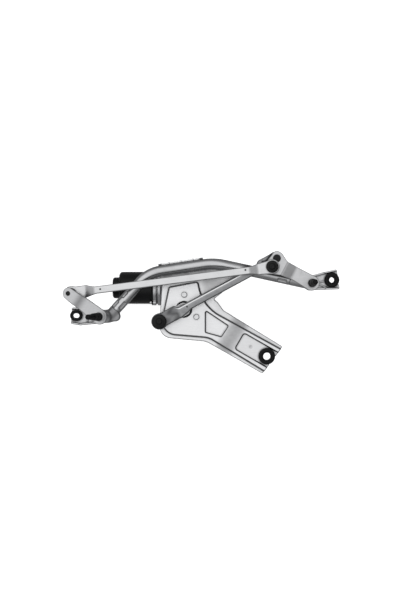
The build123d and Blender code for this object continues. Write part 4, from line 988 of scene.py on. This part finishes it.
def housings():
    housing(
        "right_housing_cast", RIGHT, TUBE_ROUTE[3], TUBE_ROUTE[2],
        rounded([(80, 133), (131, 134.4), (145, 135.2), (139.4, 173.4), (91, 161), (80, 158)],
                [2, 4, 3, 3, 6, 4]),
        lambda x, y: fuse(disc(x, y, 10, RIGHT_BUSH), bar(x, y, RIGHT_BUSH, (160, 153), 8.5)),
        [((82, 135), (114, 135.6), 3.5, 5, 23), ((114, 135.6), (142, 136), 3.3, 8, 20),
         ((90, 160.2), (113, 167.0), 3.5, 5, 23), ((113, 167.0), (137, 172.4), 3.3, 8, 20),
         ((101, 148), (114, 150.8), 2.6, 8, 18.5), ((101, 145), (118, 138), 2.2, 8, 18.0)],
        [], 46, 0.30, "right_housing",
    )
    housing(
        "left_housing_cast", LEFT, TUBE_ROUTE[0], TUBE_ROUTE[1],
        rounded([(-392.5, 65.5), (-374, 62.5), (-338, 65.5), (-318, 69), (-318, 92), (-350, 97.6),
                 (-390.5, 97.6)], [3, 8, 10, 2, 2, 8, 3]),
        lambda x, y: fuse(oval(x, y, 17.0, 13.4), bar(x, y, LEFT_BUSH, (-420, LEFT_BUSH[1]), 5.5)),
        [((-391, 67), (-374, 64.4), 3.4, 8, 20), ((-374, 64.4), (-320, 70), 3.4, 5, 23),
         ((-389, 96.2), (-370, 96), 3.2, 8, 20), ((-370, 96), (-346, 95), 3.4, 5, 23),
         ((-360, 69), (-352, 93), 2.2, 8, 18.5)],
        [foot],
        14, 0.55, "left_housing",
    )


# ---------------------------------------------------------------- rubber bushes
EAR_HALF = 2.5
EAR_LEVEL = 14.0
SLEEVE_WALL = 1.6


def round_bush(prefix, x, y, z, outer, seat, bore, half, ear):
    """A grommet with moulded lips, around a black sleeve."""
    axes = LEVEL.at(x, y, z)
    inside = bore + SLEEVE_WALL
    lip = [(inside, half - 1.0), (inside + 0.8, half - 0.3), (inside + 2.2, half), (outer - 3.0, half),
           (outer - 1.0, half - 0.7), (outer, half - 2.4), (outer, ear + 0.6), (outer - 0.8, ear),
           (seat, ear)]
    profile = [*lip, *[(r, -h) for r, h in reversed(lip)]]
    rubber = lathe(prefix + "_rubber", axes, softened([*profile, profile[0]], 0.5)[:-1], 96)
    show(prefix + "_rubber_lips", rubber, "black_rubber", "frame", prefix + "_rubber")
    ring = [(bore, half - 0.5), (bore + 0.5, half), (inside - 0.4, half), (inside, half - 0.4),
            (inside, 0.4 - half), (inside - 0.4, -half), (bore + 0.5, -half), (bore, 0.5 - half)]
    show(prefix + "_sleeve_ring", lathe(prefix + "_sleeve", axes, ring, 72), "sleeve_black", "frame",
         prefix + "_sleeve")


def left_bush():
    """The oval grommet and its oval sleeve."""
    sleeve_oval = (13.4 + 2 * SLEEVE_WALL, 9 + 2 * SLEEVE_WALL)

    def rubber(p):
        x, y, z = p
        level = z - EAR_LEVEL
        flanges = keep(keep(oval(x, y, 25, 21.4), np.abs(level) - 8.5, 2.2), EAR_HALF - np.abs(level), 0.5)
        solid = fuse(flanges, keep(oval(x, y, 17, 13.4), np.abs(level) - 4, 0.3), 0.2)
        return cut(solid, oval(x, y, *sleeve_oval), 0.9)

    def sleeve(p):
        x, y, z = p
        wall = keep(oval(x, y, *sleeve_oval), -oval(x, y, 12.9, 8.8), 0.1)
        return keep(wall, np.abs(z - EAR_LEVEL) - 8.5, 0.7)

    centre = np.array([*LEFT_BUSH, EAR_LEVEL])
    size = np.array([12.6, 10.8, 8.5])
    low, high = centre - size, centre + size
    lips = cast("left_bush_rubber", rubber, low, high, cell=0.5, share=0.8)
    show("left_bush_rubber_lips", lips, "black_rubber", "frame", "left_bush_rubber")
    ring = cast("left_bush_sleeve", sleeve, low, high, cell=0.4, share=0.9)
    show("left_bush_sleeve_ring", ring, "sleeve_black", "frame", "left_bush_sleeve")


# ---------------------------------------------------------------- spindle caps, rivets, sockets and bolts
CAP_RISE = 58.0


def caps():
    """The two protective caps, with a collar and gripping rings."""
    for side, axes in (("right", RIGHT), ("left", LEFT)):
        outside = [(5.9, 5.7), (7.6, 5.7), (8.2, 6.3), (8.2, 7.6), (7.7, 8.4), (7.0, 9.2)]
        for i in range(4):
            base = 10.2 + 3.6 * i
            outside += [(7.0, base), (7.6, base + 0.5), (7.6, base + 1.9), (7.0, base + 2.4)]
        outside += [(7.1, 25.2), (7.0, 33.0), (6.4, 36.0), (5.4, 38.6), (5.2, 55.6), (4.8, 57.0), (3.9, 57.8),
                    (2.4, CAP_RISE), (0, CAP_RISE)]
        inside = [(0, 53.4), (4.05, 53.4), (4.05, 37.2), (5.0, 36.2), (5.9, 22.2), (5.9, 5.7)]
        cap = lathe(side + "_cap", axes, [*outside, *inside], 64)
        show(side + "_spindle_cap_ribbed", cap, "black_rubber", side + "_crank", side + "_spindle_cap")


def rivets():
    for side, point, axes, reach, head_r in (("right", POINT_A, RIGHT, BALL_REACH, 7.8),
                                             ("left", POINT_C, LEFT, LEFT_REACH, 4.6)):
        front = reach + CRANK_HALF
        profile = [(0, reach - CRANK_HALF), (4, reach - CRANK_HALF), (4, front), (head_r - 0.2, front),
                   (head_r, front + 0.25), (head_r - 0.1, front + 0.6), (head_r - 1.1, front + 1.3),
                   (head_r * 0.62, front + 1.5), (head_r * 0.55, front + 1.15), (head_r * 0.40, front + 1.05),
                   (head_r * 0.30, front + 1.4), (0, front + 1.45)]
        rivet = lathe(side + "_rivet", Axes(point, axes.z, axes.x), profile, 64)
        show(side + "_rivet_head", rivet, "sleeve_black", side + "_crank", side + "_crank_rivet")


def socket(name, centre, seat_r, cap_r, mouth, body, node):
    """A moulded ball cup; mouth is -1 where the cap faces out of the linkage."""
    up = Axes(centre)
    angles = np.linspace(0, math.asin(0.98), 14)
    radius = BALL_R + 0.1
    if mouth < 0:
        outside = [(0, 9.2), (1.6, 9.2), (2.6, 9.6), (4.4, 9.6), (5.2, 8.8), (6.2, 8.5), (7.0, 9.2),
                   (7.9, 9.2), (8.8, 8.5), (cap_r - 2.4, 8.7), (cap_r - 1.2, 8.2), (cap_r - 0.3, 7.0),
                   (cap_r, 6.2), (cap_r, 5.3), (cap_r - 0.3, 5.05), (seat_r, 5.05), (seat_r, -5.8),
                   (seat_r - 0.6, -6.4), (8.4, -6.4), (8.0, -6.0)]
        cup = [(radius * math.sin(a), radius * math.cos(a)) for a in reversed(angles)]
        mesh = lathe(name, up, [*outside, *cup], 80)
    else:
        cup = [(radius * math.sin(a), -radius * math.cos(a)) for a in angles]
        outside = [(8.0, 5.5), (8.5, 5.95), (cap_r - 0.3, 5.95), (cap_r, 5.7), (cap_r, 5.3),
                   (cap_r - 0.3, 5.05), (seat_r, 5.05), (seat_r, -6.3), (seat_r - 0.6, -7.2), (8.6, -9.2),
                   (7.6, -9.5), (5.0, -9.5), (4.4, -9.1), (3.0, -9.1), (2.4, -9.5), (0, -9.5)]
        mesh = lathe(name, up, [*cup, *outside], 80)
    show(name + "_moulded", mesh, "black_plastic", body, node)


def sockets():
    for node, centre, seat_r, cap_r, mouth, body in (
        ("drive_rod_near_socket", BALL_B2, SOCKET_R, 14.2, -1, "drive_rod"),
        ("drive_rod_far_socket", POINT_A, SOCKET_R, 12.5, 1, "drive_rod"),
        ("link_rod_right_socket", POINT_B, SOCKET_R, 12.2, -1, "link_rod"),
        ("link_rod_left_socket", POINT_C, LEFT_SOCKET_R, LEFT_SOCKET_R + 0.6, 1, "link_rod"),
    ):
        socket(node, centre, seat_r, cap_r, mouth, body, node)


BOLT_CIRCLE = 29.2
BOLT_ANGLES = (88.5, 208.5, 328.5)
LUG_CIRCLE = 45.0
LUG_ANGLES = (20, 205, 255, 305)


def round_shaft(radius, angles):
    """Points on a circle round the motor shaft, seen from above."""
    return [(SHAFT.origin[0] + radius * math.cos(math.radians(a)),
             SHAFT.origin[1] + radius * math.sin(math.radians(a))) for a in angles]


def bolts():
    """The three motor bolts in one mesh: shanks below, low round heads above."""
    rings, faces, start = [], [], 0
    profile = [(0, -3.0), (2.6, -3.0), (3.0, -2.5), (3.0, 14.0), (5.5, 14.02), (5.7, 14.25), (5.7, 14.9),
               (5.3, 15.6), (4.6, 15.95), (3.4, 16.05), (2.2, 15.9), (0, 15.85)]
    for centre in round_shaft(BOLT_CIRCLE, BOLT_ANGLES):
        mesh = lathe("one_bolt", LEVEL.at(*centre, 0), profile, 48)
        rings += [tuple(v.co / MM) for v in mesh.vertices]
        faces += [[start + i for i in f.vertices] for f in mesh.polygons]
        start = len(rings)
    mesh = mesh_of("motor_bolts", rings, faces)
    mesh.set_sharp_from_angle(angle=TURNED_SHARP)
    show("motor_bolt_heads", mesh, "fastener_steel", "frame", "motor_bolts")


def gasket():
    profile = [(12.8, 12.1), (13.2, 12.0), (15.6, 12.0), (16.0, 12.3), (16.0, 12.8), (15.4, 13.2),
               (13.4, 13.2), (12.8, 12.9)]
    mesh = lathe("gasket", LEVEL.at(SHAFT.origin[0], SHAFT.origin[1], 0), profile, 72)
    show("boss_gasket_ring", mesh, "black_rubber", "frame", "boss_gasket")


# ---------------------------------------------------------------- motor can and gear housing
YOKE_R = 32.6
YOKE_X = (-298.0, -229.0)
NOSE_X, NOSE_R = -311.5, 21.3
FLANGE_X = -214.0
CLAMPS = ((-29.7, 20.8), (29.7, -20.8))


def motor_can():
    """The deep-drawn can: rounded shoulders, a stepped nose, a rolled flange and two ears."""
    wall = 2.0
    outline = rounded(
        [(-1, NOSE_X), (NOSE_R, NOSE_X), (NOSE_R, YOKE_X[0]), (YOKE_R, YOKE_X[0]), (YOKE_R, YOKE_X[1] - 2.5),
         (YOKE_R + 3, YOKE_X[1] - 2.5), (YOKE_R + 3, YOKE_X[1]), (YOKE_R - wall, YOKE_X[1]),
         (YOKE_R - wall, YOKE_X[0] + wall), (NOSE_R - wall, YOKE_X[0] + wall), (NOSE_R - wall, NOSE_X + wall),
         (-1, NOSE_X + wall)],
        [0, 5, 2, 7, 1.6, 0.7, 0.7, 0.5, 5, 1.5, 3, 0], 1.2,
    )

    def field(p):
        u, v, w = MOTOR.see(p)
        can = polygon(np.hypot(u, v), w, outline)
        for dy, dz in CLAMPS:
            ear = keep(disc(u, v, 5.5, (dy, dz)), between(w, YOKE_X[1] - 2.5, YOKE_X[1]), 0.6)
            can = fuse(can, keep(ear, YOKE_R - wall - np.hypot(u, v), 0.2), 1.2)
            can = cut(can, disc(u, v, 2.05, (dy, dz)), 0.3)
        return can

    mesh = cast("motor_can", field, *box_of("motor_yoke"), cell=0.9, share=0.35)
    show("motor_can", mesh, "motor_paint", "frame", "motor_yoke")


def gear_case():
    """The die-cast gear housing, with fillets, cover lugs and three bolt pillars."""
    roof, cover = (-22.0, -19.0), -45.0
    lugs = round_shaft(LUG_CIRCLE, LUG_ANGLES)
    pillars = round_shaft(BOLT_CIRCLE, BOLT_ANGLES)
    cavity_r, neck_r, crown_r = 40, 15, 12.6

    def field(p):
        x, y, z = p
        u, v, w = MOTOR.see(p)
        around = np.hypot(u, v)
        off = disc(x, y, 0, SHAFT.origin)
        solid = keep(off - cavity_r - 3, between(z, cover, roof[1]), 2.0)
        solid = fuse(solid, keep(around - 13, between(w, FLANGE_X - 2, -118), 2.0), 3)
        flange = keep(around - YOKE_R - 3, between(w, YOKE_X[1], FLANGE_X), 0.8)
        flange = cut(flange, keep(YOKE_R - around, between(w, YOKE_X[1] + 6, YOKE_X[1] + 9), 0.1), 0.5)
        solid = fuse(solid, flange, 2)
        for x0, y0 in lugs:
            solid = fuse(solid, keep(disc(x, y, 4.5, (x0, y0)), between(z, cover, roof[1]), 0.8), 2)
        for dy, dz in CLAMPS:
            ear = keep(disc(u, v, 5.5, (dy, dz)), between(w, YOKE_X[1], YOKE_X[1] + 6), 0.6)
            solid = fuse(solid, ear, 1)
        solid = cut(solid, keep(off - cavity_r, between(z, cover - 9, roof[0]), 1), 0.5)
        solid = fuse(solid, keep(off - neck_r, between(z, roof[0], 12), 0.6), 3)
        solid = fuse(solid, keep(off - crown_r, between(z, 11, 18), 0.8), 0.4)
        for x0, y0 in pillars:
            solid = fuse(solid, keep(disc(x, y, 6, (x0, y0)), between(z, roof[0], 12), 0.5), 2)
            solid = cut(solid, keep(disc(x, y, 3.05, (x0, y0)), between(z, -4, 14), 0.1), 0.3)
        solid = cut(solid, keep(around - 9, between(w, -217, -122), 0.2), 0.3)
        solid = cut(solid, keep(around - 26.6, between(w, YOKE_X[1] - 5, -217), 0.5), 0.5)
        solid = cut(solid, keep(off - 9, between(z, roof[0] - 4, 22), 0.1), 0.5)
        for x0, y0 in lugs:
            solid = cut(solid, keep(disc(x, y, 1.65, (x0, y0)), between(z, cover - 4, cover + 14), 0.1), 0.2)
        return solid

    mesh = cast("gear_case", field, *box_of("gear_housing"), cell=0.95, share=0.4)
    show("gear_case", mesh, "cast_aluminium", "frame", "gear_housing")


# ---------------------------------------------------------------- stage
FLOOR_HALF = 12.0
FLOOR_GAP = 0.001
SKY_LEAN = (-0.28, 0.24, 0.93)
SKY_GLOW = 1.2
# Brightness of the sky from below to the top: place on the ramp and value.
SKY_BELOW = (0.24, 0.24, 0.245, 1)
SKY_STEPS = ((0.25, 0.24), (0.50, 0.36), (0.70, 0.60), (0.86, 0.97))
CAMERA_AT = (-0.1343, 0.1130, 2.614)
CAMERA_LENS = 78.0
CAMERA_FAR = 20.0


def ground():
    """A plain pale floor under everything."""
    low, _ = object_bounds()
    corners = [(x * FLOOR_HALF, y * FLOOR_HALF, 0) for x, y in ((-1, -1), (1, -1), (1, 1), (-1, 1))]
    mesh = bpy.data.meshes.new("floor")
    mesh.from_pydata(corners, [], [(0, 1, 2, 3)])
    floor = bpy.data.objects.new("floor", mesh)
    floor.location.z = low.z - FLOOR_GAP
    bpy.context.scene.collection.objects.link(floor)
    material = bpy.data.materials.new("pale_floor")
    n = Nodes(material)
    shader = n.add("BsdfPrincipled", {
        "Base Color": (0.93, 0.935, 0.94, 1), "Roughness": 0.9, "Specular IOR Level": 0.1,
        "Emission Color": (1, 1, 1, 1), "Emission Strength": 0.75})
    n.add("OutputMaterial", {"Surface": shader.outputs["BSDF"]})
    mesh.materials.append(material)
    floor.visible_glossy = False


def sky():
    """Soft light that grows towards the top."""
    world = bpy.data.worlds.new("studio")
    bpy.context.scene.world = world
    n = Nodes(world)
    place = n.add("TexCoord").outputs["Generated"]
    lean = n.add("VectorMath", {0: place, 1: SKY_LEAN}, operation="DOT_PRODUCT").outputs["Value"]
    ramp = n.add("ValToRGB", {"Fac": lean})
    steps = ramp.color_ramp.elements
    steps[0].position, steps[0].color = 0.0, SKY_BELOW
    steps[1].position, steps[1].color = 1.0, (1.0, 1.0, 1.0, 1)
    for at, value in SKY_STEPS:
        steps.new(at).color = (value, value, value * 1.01, 1)
    glow = n.add("Background", {"Color": ramp.outputs["Color"], "Strength": SKY_GLOW})
    n.add("OutputWorld", {"Surface": glow.outputs["Background"]})


def camera():
    """The camera, straight above."""
    lens = bpy.data.cameras.new("camera")
    lens.lens = CAMERA_LENS
    lens.clip_end = CAMERA_FAR
    eye = bpy.data.objects.new("camera", lens)
    eye.location = CAMERA_AT
    bpy.context.scene.collection.objects.link(eye)
    bpy.context.scene.camera = eye
    bpy.context.scene.view_settings.view_transform = "Standard"


paint_cad_nodes()
motor_plate()
cranks()
drive_rod()
link_rod()
frame_tube()
housings()
round_bush("centre_bush", 0, 0, 0, 16.5, 11.0, 7.5, 8.0, 1.0)
round_bush("right_bush", *RIGHT_BUSH, EAR_LEVEL, 15.0, 10.0, 5.4, 8.5, EAR_HALF)
left_bush()
caps()
rivets()
sockets()
bolts()
gasket()
motor_can()
gear_case()
ground()
sky()
camera()
